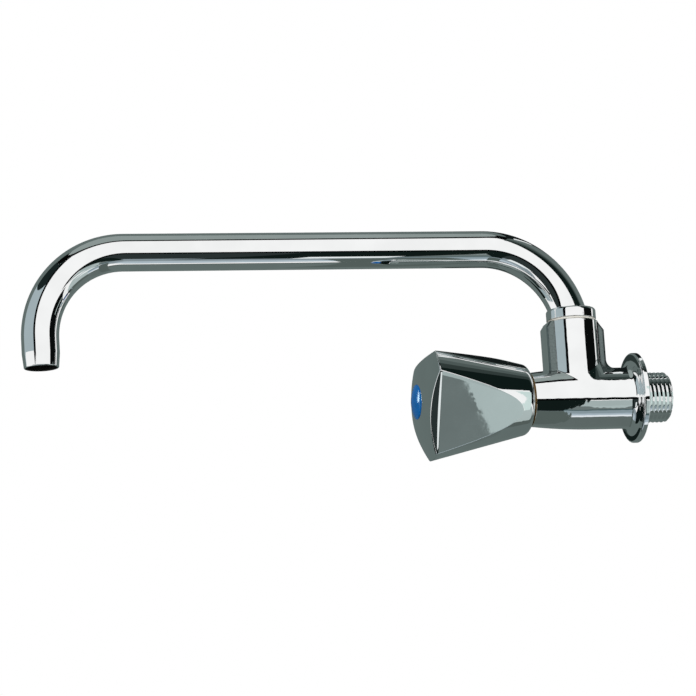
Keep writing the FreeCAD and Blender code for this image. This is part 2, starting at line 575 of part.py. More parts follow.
def knob_hollows():
    cavity_depth = KNOB_REAR_Y - KNOB_CAVITY_FLOOR_Y
    cavity = Part.makeCone(KNOB_CAVITY_FRONT_RADIUS, KNOB_CAVITY_REAR_RADIUS, cavity_depth,
                           FreeCAD.Vector(0, KNOB_CAVITY_FLOOR_Y, 0), TO_WALL)
    return [cavity,
            along_y(SMALL_SCREW_RADIUS + CLEAR, KNOB_CAVITY_FLOOR_Y, SCREW_SEAT_Y),
            along_y(SCREW_WELL_RADIUS, SCREW_SEAT_Y, BUTTON_FLOOR_Y),
            along_y(BUTTON_RADIUS + RUNNING, BUTTON_FLOOR_Y, KNOB_RIM_Y - 2 * KNOB_RIM_RADIUS)]


def knob_hub():
    """The boss in the knob's cavity: pocket for the insert, web, and the screw's well."""
    hub = along_y(HUB_RADIUS, HUB_END_Y, KNOB_CAVITY_FLOOR_Y)
    hub = hub.cut(along_y(INSERT_RADIUS, HUB_END_Y, INSERT_END_Y))
    hub = hub.cut(along_y(SMALL_SCREW_RADIUS + CLEAR, INSERT_END_Y, SCREW_SEAT_Y))
    return hub.cut(along_y(SCREW_WELL_RADIUS, SCREW_SEAT_Y, KNOB_CAVITY_FLOOR_Y))


def knob_insert():
    bush = along_y(INSERT_RADIUS, HUB_END_Y, INSERT_END_Y)
    return bush.cut(splined_bar(SPLINE_TIP_RADIUS + INSERT_SPLINE_CLEARANCE, HUB_END_Y, INSERT_END_Y))


def knob_lock_washer():
    ring = sleeve_y(SMALL_SCREW_HEAD_RADIUS, SMALL_SCREW_RADIUS + RUNNING, SCREW_SEAT_Y, SCREW_HEAD_Y)
    return ring.cut(slot_block(LOCK_WASHER_GAP, SMALL_SCREW_HEAD_RADIUS, SCREW_SEAT_Y, SCREW_HEAD_Y))


def knob_screw():
    """A cross-recessed screw."""
    head_end_y = SCREW_HEAD_Y - SCREW_HEAD_HEIGHT
    head = along_y(SMALL_SCREW_HEAD_RADIUS, SCREW_HEAD_Y, head_end_y)
    shank = along_y(SMALL_SCREW_RADIUS, SCREW_HEAD_Y + KNOB_SCREW_LENGTH, SCREW_HEAD_Y)
    slot_width = SCREW_HEAD_HEIGHT / 3
    slot_depth = SCREW_HEAD_HEIGHT / 2
    slot_length = SMALL_SCREW_HEAD_RADIUS
    level = Part.makeBox(slot_length, slot_depth, slot_width,
                         FreeCAD.Vector(-slot_length / 2, head_end_y, -slot_width / 2))
    plumb = Part.makeBox(slot_width, slot_depth, slot_length,
                         FreeCAD.Vector(-slot_width / 2, head_end_y, -slot_length / 2))
    return head.fuse(shank).cut(level.fuse(plumb))


def index_button():
    """A domed cap with a skirt that snaps into the knob's recess."""
    edge_y = BUTTON_EDGE_Y - BUTTON_PROUD
    apex_y = edge_y - BUTTON_DOME_HEIGHT
    dome_radius = (BUTTON_RADIUS ** 2 + BUTTON_DOME_HEIGHT ** 2) / (2 * BUTTON_DOME_HEIGHT)
    half_angle = math.asin(BUTTON_RADIUS / dome_radius) / 2
    centre_y = apex_y + dome_radius
    dome_middle = FreeCAD.Vector(dome_radius * math.sin(half_angle),
                                 centre_y - dome_radius * math.cos(half_angle), 0)
    dome = Part.Arc(FreeCAD.Vector(BUTTON_RADIUS, edge_y, 0), dome_middle,
                    FreeCAD.Vector(0, apex_y, 0)).toShape()
    skirt_inner = BUTTON_RADIUS - BUTTON_SKIRT_WALL
    plate_y = edge_y + BUTTON_PLATE
    rest = lines([(0, apex_y), (0, plate_y), (skirt_inner, plate_y), (skirt_inner, BUTTON_FLOOR_Y),
                  (BUTTON_RADIUS, BUTTON_FLOOR_Y), (BUTTON_RADIUS, edge_y)])
    return turned([dome] + rest)


def build():
    os.makedirs("parts", exist_ok=True)
    save("valve_body", valve_body())
    save("valve_seat", valve_seat())
    save("spout_tube", spout_tube())
    save("spout_ferrule", spout_ferrule())
    for place, seal_z in FERRULE_SEALS_Z.items():
        save("ferrule_o_ring_" + place, ferrule_o_ring(seal_z))
    save("spout_snap_ring", spout_snap_ring())
    save("spout_slip_ring", spout_slip_ring())
    save("tap_washer", tap_washer())
    save("washer_screw", washer_screw())
    save("jumper", jumper())
    save("headwork_bonnet", headwork_bonnet())
    save("bonnet_gasket", bonnet_gasket())
    save("spindle", spindle())
    for place, seal_place in STEM_SEALS_Y.items():
        save("spindle_o_ring_" + place, seal_y(STEM_GROOVE_RADIUS, STEM_SEAL_SECTION, seal_place))
    save("spindle_slip_washer", spindle_slip_washer())
    save("spindle_circlip", spindle_circlip())
    save("knob", knob())
    save("knob_insert", knob_insert())
    save("knob_lock_washer", knob_lock_washer())
    save("knob_screw", knob_screw())
    save("index_button", index_button())


build()
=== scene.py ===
import json
import math

import bmesh
import bpy
import numpy as np
from bpy.props import FloatProperty, FloatVectorProperty, PointerProperty
from mathutils import Matrix, Vector


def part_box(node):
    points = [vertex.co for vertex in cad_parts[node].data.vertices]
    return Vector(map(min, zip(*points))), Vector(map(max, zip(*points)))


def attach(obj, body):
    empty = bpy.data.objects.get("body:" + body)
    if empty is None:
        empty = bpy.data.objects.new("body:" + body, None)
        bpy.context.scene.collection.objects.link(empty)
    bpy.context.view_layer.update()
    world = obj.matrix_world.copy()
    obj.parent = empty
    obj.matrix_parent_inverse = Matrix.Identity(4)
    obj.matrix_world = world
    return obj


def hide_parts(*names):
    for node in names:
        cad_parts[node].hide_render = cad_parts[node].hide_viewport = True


bl_info = {
    "name": "Wall Faucet",
    "version": (1, 0, 0),
    "blender": (4, 5, 0),
    "location": "3D View > Sidebar > Wall Faucet",
    "description": "Dresses the packed frame of a chrome wall faucet with a swivelling spout",
    "category": "Add Mesh",
}

# The frame: metres, origin at the centre of the wall flange's back face, +Y into the wall,
# the knob towards -Y, the spout's branch up along +Z. Every angle about the inlet axis is
# taken from +X towards +Z, and every angle about the branch axis from +X towards +Y.
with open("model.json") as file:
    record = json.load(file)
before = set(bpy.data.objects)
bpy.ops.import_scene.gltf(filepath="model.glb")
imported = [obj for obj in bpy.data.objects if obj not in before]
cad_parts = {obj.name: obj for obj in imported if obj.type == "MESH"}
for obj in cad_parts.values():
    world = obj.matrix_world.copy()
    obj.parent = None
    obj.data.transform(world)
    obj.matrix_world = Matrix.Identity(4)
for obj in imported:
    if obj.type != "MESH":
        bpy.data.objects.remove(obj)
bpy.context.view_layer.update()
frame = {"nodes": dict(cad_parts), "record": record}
MM = 0.001


def spans(node):
    """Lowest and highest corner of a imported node, as two rows of x, y, z."""
    return np.array([list(corner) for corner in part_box(node)])


TUBE_SPAN = spans("spout_tube")
FERRULE_SPAN = spans("spout_ferrule")
BUTTON_SPAN = spans("index_button")
BODY_SPAN = spans("valve_body")
SLIP_RING_SPAN = spans("spout_slip_ring")
KNOB_REAR = float(spans("knob")[1, 1])
NECK_FACE = float(BODY_SPAN[0, 1])

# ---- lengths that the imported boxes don't give ----
TUBE_START = 21.0 * MM         # height of the tube's end inside the ferrule
TUBE_WALL = 0.85 * MM
ROOT_BEND_RADIUS = 37.0 * MM
DROP_BEND_RADIUS = 35.5 * MM
SWAGE_LENGTH = 6.0 * MM
SWAGE_TAKE_IN = 0.6 * MM
CREASE_LEAD = 3.0 * MM         # from the last plain ring to the crease where the swage begins
CREASE_ROUNDING = 3.0 * MM
LIP_ROUNDING = 0.35 * MM

ARM_RADIUS = 12.8 * MM
NECK_RADIUS = 11.2 * MM
ARM_TAPER_START = -20.0 * MM
FLANGE_THICKNESS = 2.5 * MM
FLANGE_EDGE_ROUNDING = 0.8 * MM
FLANGE_ROOT_FILLET = 3.5 * MM
BRANCH_Y = -26.0 * MM
BRANCH_TOP = 32.5 * MM
BRANCH_RADIUS = 10.7 * MM
RIB_REACH = 12.5 * MM
RIB_HALF_WIDTH = 5.5 * MM
RIB_FRONT_SHOULDER = (1.7 * MM, 2.6 * MM)    # how far a shoulder goes in, and down
RIB_BACK_SHOULDER = (3.0 * MM, 4.2 * MM)
SHOULDER_MARGIN = 0.6 * MM     # below the longer shoulder, where the closely spaced rows end
RIB_ROUNDING = 1.2 * MM
RIB_BLEND = 0.9 * MM           # over which a rib's root runs into the round bar
RIB_FLANK_START = 9.4 * MM     # from the branch axis; the satin finish, darkened as painted shade, begins there
RIB_FLANK_MARGIN = 0.06 * MM
BRANCH_EDGE_ROUNDING = 0.4 * MM
BRANCH_WALL_FILLET = 3.8 * MM
BRANCH_FRONT_FILLET = 0.5 * MM
SOCKET_RADIUS = 9.15 * MM
SOCKET_FLOOR = 10.2 * MM
SNAP_GROOVE_RADIUS = 9.7 * MM
SNAP_GROOVE_LOW = 24.25 * MM
SNAP_GROOVE_HIGH = 25.75 * MM
PORT_RADIUS = 5.8 * MM
CHAMBER_RADIUS = 8.2 * MM
CHAMBER_BACK = -17.5 * MM
CHAMBER_FRONT = -35.2 * MM
SEAT_WEB_BACK = -12.0 * MM
SEAT_THREAD_RADIUS = 6.9 * MM
BONNET_THREAD_RADIUS = 8.33 * MM
INLET_BORE_RADIUS = 6.5 * MM

THREAD_RADIUS = 10.4775 * MM
THREAD_PITCH = 1.814 * MM
THREAD_DEPTH = 1.162 * MM
THREAD_RELIEF = 1.6 * MM
THREAD_RUN_OUT = THREAD_PITCH / 2    # length over which the thread rises from its relief
THREAD_CREST = 0.12            # flat crest and root, as shares of the pitch
THREAD_ROOT = 0.16

COLLAR_EDGE_ROUNDING = 1.2 * MM
FERRULE_BORE_RADIUS = 5.8 * MM
# Lower height, upper height and floor radius of each groove, in mm.
FERRULE_GROOVES = ((12.3, 14.5, 7.5), (16.3, 18.5, 7.5), (24.35, 25.65, 8.3))

# How far the small edges are rounded.
COLLAR_TOP_BREAK = 0.12 * MM
SLIP_RING_BREAK = 0.15 * MM
BORE_BREAK = 0.2 * MM
TURNED_BREAK = 0.25 * MM       # collar's lower edge, neck's face and tail's bore
BACK_BREAK = 0.3 * MM          # spigot's lower edge and flange's back

KNOB_RIM = -90.2 * MM
KNOB_REAR_RADIUS = 14.3 * MM
KNOB_RIM_RADIUS = 24.65 * MM
KNOB_DOME_RADIUS = 61.0 * MM
KNOB_REAR_ROUNDING = 3.2 * MM
KNOB_FLATS = 3
KNOB_FLAT_TURN = -25.4         # where the first flat faces, in degrees
KNOB_FLAT_REAR = 15.5 * MM
KNOB_FLAT_RIM = 17.0 * MM
KNOB_BEVEL = -89.9 * MM        # y where the bevels at the flats' front ends begin
KNOB_BEVEL_LEAN = 13.0         # degrees
KNOB_EDGE_ROUNDING = 0.8 * MM
KNOB_RIM_ROUNDING = 0.6 * MM
KNOB_CAVITY_REAR = 10.4 * MM
KNOB_CAVITY_FRONT = 12.6 * MM
KNOB_CAVITY_FLOOR = -82.2 * MM
HUB_RADIUS = 9.0 * MM
HUB_END = -68.5 * MM
INSERT_RADIUS = 6.5 * MM
INSERT_END = -79.0 * MM
SCREW_SEAT = -81.5 * MM
SCREW_HOLE_RADIUS = 2.3 * MM
SCREW_WELL_RADIUS = 4.3 * MM
BUTTON_DOME_HEIGHT = 1.7 * MM
BUTTON_EDGE_ROUNDING = 0.45 * MM
BUTTON_BAND = 1.0 * MM         # of the skirt, below the dome's edge
BUTTON_PLATE = 1.6 * MM
BUTTON_SKIRT_WALL = 1.5 * MM
RUNNING = 0.05 * MM            # clearance between fitted pieces

SMOOTH_ANGLE = math.radians(38)
MERGE_DISTANCE = 0.002 * MM
QUARTER_TURN = math.pi / 2
FULL_TURN = 2 * math.pi


# ---- sizes and colours a user would change ----

def length(name, description, default):
    return FloatProperty(name=name, description=description, default=default,
                         unit="LENGTH", subtype="DISTANCE", precision=5)


def colour(name, description, hexcode):
    return FloatVectorProperty(name=name, description=description, default=srgb(hexcode)[:3],
                               subtype="COLOR", size=3, min=0.0, max=1.0)


def srgb(hexcode):
    """An sRGB hex colour as linear red, green, blue, alpha: each channel c becomes c / 12.92
    below 0.04045 and ((c + 0.055) / 1.055) to the power 2.4 above it."""
    channels = [int(hexcode[place:place + 2], 16) / 255 for place in (1, 3, 5)]
    linear = [c / 12.92 if c <= 0.04045 else ((c + 0.055) / 1.055) ** 2.4 for c in channels]
    return (*linear, 1.0)


class FaucetSpoutSizes(bpy.types.PropertyGroup):
    tube_radius: length("Tube radius", "Outer radius of the spout's tube",
                        float(TUBE_SPAN[1, 0] - TUBE_SPAN[0, 0]) / 2)
    wall: length("Tube wall", "Wall thickness of the tube", TUBE_WALL)
    reach: length("Reach", "From the branch axis to the drop's axis",
                  BRANCH_Y - float(TUBE_SPAN[0, 1] + TUBE_SPAN[1, 0]))
    height: length("Height", "From the inlet axis to the level run's centreline",
                   float(TUBE_SPAN[1, 2] - TUBE_SPAN[1, 0]))
    outlet: length("Outlet height", "Height of the outlet over the inlet axis",
                   float(TUBE_SPAN[0, 2]))
    collar_radius: length("Collar radius", "Outer radius of the collar under the tube",
                          float(FERRULE_SPAN[1, 0]))


class FaucetBodySizes(bpy.types.PropertyGroup):
    arm_radius: length("Arm radius", "Radius of the body between flange and branch", ARM_RADIUS)
    neck_radius: length("Neck radius", "Radius of the body behind the knob", NECK_RADIUS)
    branch_radius: length("Branch radius", "Radius of the branch between its ribs",
                          BRANCH_RADIUS)
    flange_radius: length("Flange radius", "Radius of the wall flange", float(BODY_SPAN[1, 0]))
    thread_radius: length("Thread radius", "Crest radius of the inlet thread", THREAD_RADIUS)
    tail_length: length("Tail length", "Length of the threaded tail", float(BODY_SPAN[1, 1]))


class FaucetKnobSizes(bpy.types.PropertyGroup):
    rim_radius: length("Rim radius", "Radius over the knob's three corners", KNOB_RIM_RADIUS)
    rear_radius: length("Rear radius", "Radius of the knob's rear end", KNOB_REAR_RADIUS)
    button_radius: length("Button radius", "Radius of the blue button",
                          float(BUTTON_SPAN[1, 0]))


class FaucetFinishes(bpy.types.PropertyGroup):
    chrome: colour("Chrome", "Reflection colour of the plating", "#f4f5f5")
    knob_chrome: colour("Knob chrome", "Reflection colour of the knob's plating", "#f1f3f3")
    brass: colour("Brass", "Turned brass inside the tap", "#c9a25a")
    button: colour("Button", "The index button's plastic", "#0b62ab")


class FaucetSettings(bpy.types.PropertyGroup):
    spout: PointerProperty(type=FaucetSpoutSizes, name="Spout", description="Sizes of the spout")
    body: PointerProperty(type=FaucetBodySizes, name="Body", description="Sizes of the body")
    knob: PointerProperty(type=FaucetKnobSizes, name="Knob", description="Sizes of the knob")
    finishes: PointerProperty(type=FaucetFinishes, name="Finishes", description="Colours")


# ---- shapes as arrays of points ----

def blend(low, high, share):
    return low + (high - low) * share


def swing(first, last, turn, share):
    """The arm that lies that share of the way from the arm first to the arm last, where turn
    is the angle between the two."""
    return (np.sin((1 - share) * turn) * first + np.sin(share * turn) * last) / np.sin(turn)


GUARD_LEAD = 0.35              # a guard's place outside the touching point, as a share of rounding
GUARD_ROOM = 0.48              # share of a side that a corner and its guard may take up


def rounded(corners, closed=True, steps=6):
    """The outline through corners (across, along, rounding). A rounded corner becomes an arc:
    its centre lies on the corner's bisector at rounding / sin(half the corner's angle), and
    its points turn evenly from one touching point to the other. A guard, a point just outside
    each touching point, keeps the flat sides flat when they are shaded."""
    count = len(corners)
    places = np.array([corner[:2] for corner in corners], dtype=float)
    outline = []
    for index, (_, _, rounding) in enumerate(corners):
        place = places[index]
        at_end = not closed and index in (0, count - 1)
        if rounding == 0 or at_end:
            outline.append(place[None, :])
            continue
        to_last = places[index - 1] - place
        to_next = places[(index + 1) % count] - place
        last_length = np.linalg.norm(to_last)
        next_length = np.linalg.norm(to_next)
        to_last = to_last / last_length
        to_next = to_next / next_length
        half = 0.5 * math.acos(float(np.clip(to_last @ to_next, -1, 1)))
        touch = rounding / math.tan(half)
        centre = place + unit(to_last + to_next) * rounding / math.sin(half)
        share = np.linspace(0, 1, steps + 1)[:, None]
        arc = swing(place + to_last * touch - centre, place + to_next * touch - centre,
                    math.pi - 2 * half, share)
        guard = touch + GUARD_LEAD * rounding
        if guard < GUARD_ROOM * last_length:
            outline.append((place + to_last * guard)[None, :])
        outline.append(centre + arc)
        if guard < GUARD_ROOM * next_length:
            outline.append((place + to_next * guard)[None, :])
    return np.concatenate(outline)


def unit(vectors):
    return vectors / np.linalg.norm(vectors, axis=-1, keepdims=True)


def round_inlet(radius, angle, y):
    """Points at the radius, angle and y about the inlet axis."""
    radius, angle, y = np.broadcast_arrays(radius, angle, y)
    return np.stack([radius * np.cos(angle), y, radius * np.sin(angle)], axis=-1)


def round_branch(radius, angle, z):
    """Points at the radius, angle and z about the branch axis."""
    radius, angle, z = np.broadcast_arrays(radius, angle, z)
    return np.stack([radius * np.cos(angle), BRANCH_Y + radius * np.sin(angle), z], axis=-1)


def about_inlet(outline, angles):
    """The outline (radius, y) turned about the inlet axis, one column per angle."""
    return round_inlet(outline[:, :1], angles, outline[:, 1:])


def about_branch(outline, angles):
    """The outline (radius, z) turned about the branch axis, one column per angle."""
    return round_branch(outline[:, :1], angles, outline[:, 1:])


def full_turn(count):
    return np.arange(count) * FULL_TURN / count


class Patch:
    """A grid of points; it may close on itself along its rows, its columns or both. Its finish
    is one number, or one for each quad."""

    def __init__(self, points, ring=True, loop=False, finish=0):
        self.points = np.asarray(points, dtype=float)
        self.ring = ring
        self.loop = loop
        self.finish = finish

    def quads(self, first):
        """Corner numbers of the quads: each joins a point, its neighbour in the next row, the
        one beyond in the next column, and its neighbour in the same row."""
        rows, columns = self.points.shape[:2]
        row = np.arange(rows if self.loop else rows - 1)
        column = np.arange(columns if self.ring else columns - 1)
        row, column = np.meshgrid(row, column, indexing="ij")
        next_row = (row + 1) % rows
        next_column = (column + 1) % columns
        corners = [row * columns + column, next_row * columns + column,
                   next_row * columns + next_column, row * columns + next_column]
        return first + np.stack([corner.ravel() for corner in corners], axis=1)


def make_piece(name, body, patches, finishes, replaced):
    """One object from patches that share their borders: the shared points are merged, the
    closed skin's faces are turned outwards, and edges sharper than SMOOTH_ANGLE stay sharp."""
    points = np.concatenate([patch.points.reshape(-1, 3) for patch in patches])
    starts = np.cumsum([0] + [patch.points.shape[0] * patch.points.shape[1] for patch in patches])
    quads = [patch.quads(start) for patch, start in zip(patches, starts)]
    finish_of = np.concatenate([np.broadcast_to(patch.finish, len(faces))
                                for patch, faces in zip(patches, quads)])
    mesh = bpy.data.meshes.new(name)
    mesh.from_pydata(points.tolist(), [], np.concatenate(quads).tolist())
    mesh.polygons.foreach_set("material_index", finish_of.astype(np.int32))
    skin = bmesh.new()
    skin.from_mesh(mesh)
    bmesh.ops.remove_doubles(skin, verts=skin.verts, dist=MERGE_DISTANCE)
    bmesh.ops.dissolve_degenerate(skin, edges=skin.edges, dist=MERGE_DISTANCE)
    bmesh.ops.recalc_face_normals(skin, faces=skin.faces)
    if skin.calc_volume(signed=True) < 0:
        bmesh.ops.reverse_faces(skin, faces=skin.faces)
    skin.to_mesh(mesh)
    skin.free()
    mesh.shade_smooth()
    mesh.set_sharp_from_angle(angle=SMOOTH_ANGLE)
    for material in finishes:
        mesh.materials.append(material)
    piece = bpy.data.objects.new(name, mesh)
    bpy.context.scene.collection.objects.link(piece)
    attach(piece, body)
    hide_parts(*replaced)
    return piece


# ---- the spout ----

SPOUT_CELLS = (3, 56, 12, 56, 3)    # along the rise, root bend, level run, drop bend and drop
ROUND_CELLS = 96                    # round the tube, the slip ring and the button
COLLAR_CELLS = 112


def spout_ends(sizes):
    """Where the rise, root bend, level run, drop bend and drop end, as lengths along the
    spout's centreline from the tube's end in the ferrule."""
    return np.cumsum([sizes.height - ROOT_BEND_RADIUS - TUBE_START,
                      ROOT_BEND_RADIUS * QUARTER_TURN,
                      sizes.reach - ROOT_BEND_RADIUS - DROP_BEND_RADIUS,
                      DROP_BEND_RADIUS * QUARTER_TURN,
                      sizes.height - DROP_BEND_RADIUS - sizes.outlet])


def spout_line(sizes, run):
    """Centreline of the spout at the lengths run: its y, its z and its heading, which is 0
    going up, 90 degrees going away from the wall and 180 going down."""
    rise_end, root_end, level_end, bend_end, _ = spout_ends(sizes)
    root_angle = (np.clip(run, rise_end, root_end) - rise_end) / ROOT_BEND_RADIUS
    drop_angle = (np.clip(run, level_end, bend_end) - level_end) / DROP_BEND_RADIUS
    y = (BRANCH_Y - ROOT_BEND_RADIUS * (1 - np.cos(root_angle))
         - (np.clip(run, root_end, level_end) - root_end) - DROP_BEND_RADIUS * np.sin(drop_angle))
    z = (TUBE_START + np.clip(run, 0, rise_end) + ROOT_BEND_RADIUS * np.sin(root_angle)
         - DROP_BEND_RADIUS * (1 - np.cos(drop_angle)) - np.clip(run - bend_end, 0, None))
    return y, z, root_angle + drop_angle


def spout_stations(sizes):
    """Lengths along the spout where the skin has a ring, up to the crease's lead: close in the
    bends, sparse between."""
    ends = spout_ends(sizes)
    stops = [0.0, *ends[:-1], ends[-1] - SWAGE_LENGTH - CREASE_LEAD]
    stretches = [np.linspace(start, end, cells, endpoint=False)
                 for start, end, cells in zip(stops, stops[1:], SPOUT_CELLS)]
    return np.append(np.concatenate(stretches), stops[-1])


def along_spout(sizes, run, radius, angles):
    """Rings of the given radii square to the spout's centreline: a ring's point lies at the
    cosine of its angle along X and at the sine along the line's outer side."""
    y, z, heading = spout_line(sizes, run)
    side = radius[:, None] * np.cos(angles)
    outward = radius[:, None] * np.sin(angles)
    return np.stack([side, y[:, None] + outward * np.cos(heading)[:, None],
                     z[:, None] + outward * np.sin(heading)[:, None]], axis=-1)


def spout_patches(sizes):
    """The tube's outside up to the middle of its lip, and its bore from there to its start."""
    angles = full_turn(ROUND_CELLS)
    stations = spout_stations(sizes)
    whole = spout_ends(sizes)[-1]
    inner = sizes.tube_radius - sizes.wall
    swage = whole - SWAGE_LENGTH
    lead = swage - CREASE_LEAD
    end = rounded([(sizes.tube_radius, lead, 0), (sizes.tube_radius, swage, CREASE_ROUNDING),
                   (sizes.tube_radius - SWAGE_TAKE_IN, whole, LIP_ROUNDING),
                   (inner - SWAGE_TAKE_IN, whole, LIP_ROUNDING),
                   (inner, swage, CREASE_ROUNDING), (inner, lead, 0)], closed=False, steps=5)
    lip_middle = len(end) // 2
    outer_run = np.concatenate([stations, end[1:lip_middle + 1, 1]])
    outer_radius = np.concatenate([np.full(len(stations), sizes.tube_radius),
                                   end[1:lip_middle + 1, 0]])
    inner_run = np.concatenate([end[lip_middle:-1, 1], stations[::-1], [0.0]])
    inner_radius = np.concatenate([end[lip_middle:-1, 0], np.full(len(stations), inner),
                                   [sizes.tube_radius]])
    return [Patch(along_spout(sizes, outer_run, outer_radius, angles)),
            Patch(along_spout(sizes, inner_run, inner_radius, angles), finish=1)]


def ferrule_patches(sizes):
    """The ferrule's outline turned about the branch axis: collar, grooved spigot and bore."""
    low = float(FERRULE_SPAN[0, 2])
    top = float(FERRULE_SPAN[1, 2])
    collar_low = float(SLIP_RING_SPAN[1, 2]) + RUNNING
    spigot = SOCKET_RADIUS - RUNNING
    corners = [(sizes.tube_radius, top, COLLAR_TOP_BREAK),
               (sizes.collar_radius, top, COLLAR_EDGE_ROUNDING),
               (sizes.collar_radius, collar_low, TURNED_BREAK), (spigot, collar_low, 0)]
    for groove_low, groove_high, floor in reversed(FERRULE_GROOVES):
        corners += [(spigot, groove_high * MM, 0), (floor * MM, groove_high * MM, 0),
                    (floor * MM, groove_low * MM, 0), (spigot, groove_low * MM, 0)]
    corners += [(spigot, low, BACK_BREAK), (FERRULE_BORE_RADIUS, low, BORE_BREAK),
                (FERRULE_BORE_RADIUS, TUBE_START, 0), (sizes.tube_radius, TUBE_START, 0)]
    return [Patch(about_branch(rounded(corners), full_turn(COLLAR_CELLS)), loop=True)]


def slip_ring_patches():
    low, high = SLIP_RING_SPAN
    corners = [(high[0], low[2], SLIP_RING_BREAK), (high[0], high[2], SLIP_RING_BREAK),
               (SOCKET_RADIUS, high[2], 0), (SOCKET_RADIUS, low[2], 0)]
    return [Patch(about_branch(rounded(corners, steps=4), full_turn(ROUND_CELLS)), loop=True)]


# ---- the body ----

SIDE_CELLS = 88                # grid cells along each side of the square round the branch
REST_CELLS = 72                # cells round the part of the arm that the square leaves
SQUARE_HALF_ANGLE = math.radians(80)
ARM_SQUARE_HALF = 16.6 * MM
CHAMBER_SQUARE_HALF = 6.6 * MM
TOP_EDGE_ROWS = 6              # rows of points on the branch, from its top edge to its foot
SHOULDER_ROWS = 25
WALL_ROWS = 17
FOOT_ROWS = 11
ARM_ROWS = 15                  # rows of points round the hole in the arm and in the chamber
CHAMBER_ROWS = 8
THREAD_ROWS = 25               # rows in each pitch of the thread
THREAD_SPARE_ROWS = 87         # rows past the tail's end, more than the helix takes back
SKIN_SEARCH = (0.5, 3.0)       # shares of the branch's radius between which its skin lies
SKIN_HALVINGS = 40


def square_border():
    """Points round the square from -1 to 1 in across and along, one per grid column."""
    step = np.linspace(-1, 1, SIDE_CELLS + 1)[:-1]
    one = np.ones(SIDE_CELLS)
    across = np.concatenate([one, -step, -one, step])
    along = np.concatenate([step, one, -step, -one])
    return across, along


def arm_radius(sizes, y):
    """The arm's radius: level up to ARM_TAPER_START, then on the long arc through the neck,
    whose centre lies (run squared + drop squared) / (2 drop) below the arm's skin."""
    taper = ARM_TAPER_START - NECK_FACE
    drop = sizes.arm_radius - sizes.neck_radius
    arc = (taper ** 2 + drop ** 2) / (2 * drop)
    into_taper = np.clip(ARM_TAPER_START - y, 0, None)
    return sizes.arm_radius - arc + np.sqrt(arc ** 2 - into_taper ** 2)


def rib_end(y, z):
    """How far a rib reaches from the branch axis at height z: its full reach up to the shoulder,
    then less by the shoulder's slope. The wall side's shoulder is longer than the front's."""
    slope = np.where(y > 0, RIB_BACK_SHOULDER[0], RIB_FRONT_SHOULDER[0])
    drop = np.where(y > 0, RIB_BACK_SHOULDER[1], RIB_FRONT_SHOULDER[1])
    into_shoulder = np.clip(z - (BRANCH_TOP - drop), 0, None)
    return RIB_REACH - slope * into_shoulder / drop


def branch_distance(sizes, x, y, z):
    """Distance outside the branch's section at height z: the lesser of the distances to its
    round bar and to the slab of its two ribs, blended over RIB_BLEND where they are alike."""
    round_bar = np.hypot(x, y) - sizes.branch_radius
    past_side = np.abs(x) - (RIB_HALF_WIDTH - RIB_ROUNDING)
    past_end = np.abs(y) - (rib_end(y, z) - RIB_ROUNDING)
    slab = (np.hypot(np.clip(past_side, 0, None), np.clip(past_end, 0, None))
            + np.minimum(np.maximum(past_side, past_end), 0) - RIB_ROUNDING)
    share = np.clip(0.5 + 0.5 * (slab - round_bar) / RIB_BLEND, 0, 1)
    return blend(slab, round_bar, share) - RIB_BLEND * share * (1 - share)


def branch_rings(sizes, angles, z, level):
    """Points at height z where the branch's distance equals level. How far out they lie along
    each angle is found by halving."""
    angles, z, level = np.broadcast_arrays(angles, z, level)
    low, high = (np.full(angles.shape, share * sizes.branch_radius) for share in SKIN_SEARCH)
    for _ in range(SKIN_HALVINGS):
        middle = (low + high) / 2
        outside = branch_distance(sizes, middle * np.cos(angles), middle * np.sin(angles), z) > level
        high = np.where(outside, middle, high)
        low = np.where(outside, low, middle)
    return round_branch((low + high) / 2, angles, z)


def over_arm(sizes, points, offset):
    """The height at which points lie that far outside the arm's skin."""
    return np.sqrt((arm_radius(sizes, points[..., 1]) + offset) ** 2 - points[..., 0] ** 2)


def foot_fillet(angles):
    """The radius of the branch's foot: widest towards the wall, nearly sharp at the front."""
    towards_wall = (1 + np.sin(angles)) / 2
    return blend(BRANCH_FRONT_FILLET, BRANCH_WALL_FILLET, towards_wall ** 3)


def branch_patch(sizes, angles):
    """The branch's skin, one column per angle: the rounded top edge, the wall with its ribs,
    and the foot's fillet, where the distances b outside the branch and a outside the arm keep
    (f - b) squared + (f - a) squared = f squared for the fillet's radius f."""
    turn = np.linspace(0, QUARTER_TURN, TOP_EDGE_ROWS)[:, None]
    edge_level = -BRANCH_EDGE_ROUNDING * (1 - np.sin(turn))
    edge_z = BRANCH_TOP - BRANCH_EDGE_ROUNDING * (1 - np.cos(turn))

    fillet = foot_fillet(angles)
    wall_end = over_arm(sizes, branch_rings(sizes, angles, 0.0, 0.0), fillet)
    shoulder_end = BRANCH_TOP - RIB_BACK_SHOULDER[1] - SHOULDER_MARGIN
    upper_z = blend(edge_z[-1], shoulder_end, np.linspace(0, 1, SHOULDER_ROWS)[1:, None])
    lower_z = blend(shoulder_end, wall_end, np.linspace(0, 1, WALL_ROWS)[1:-1, None])

    turn = np.linspace(0, QUARTER_TURN, FOOT_ROWS)[:, None]
    foot = branch_rings(sizes, angles, 0.0, fillet * (1 - np.cos(turn)))
    foot[..., 2] = over_arm(sizes, foot, fillet * (1 - np.sin(turn)))
    return np.concatenate([branch_rings(sizes, angles, edge_z, edge_level),
                           branch_rings(sizes, angles, upper_z, 0.0),
                           branch_rings(sizes, angles, lower_z, 0.0), foot])


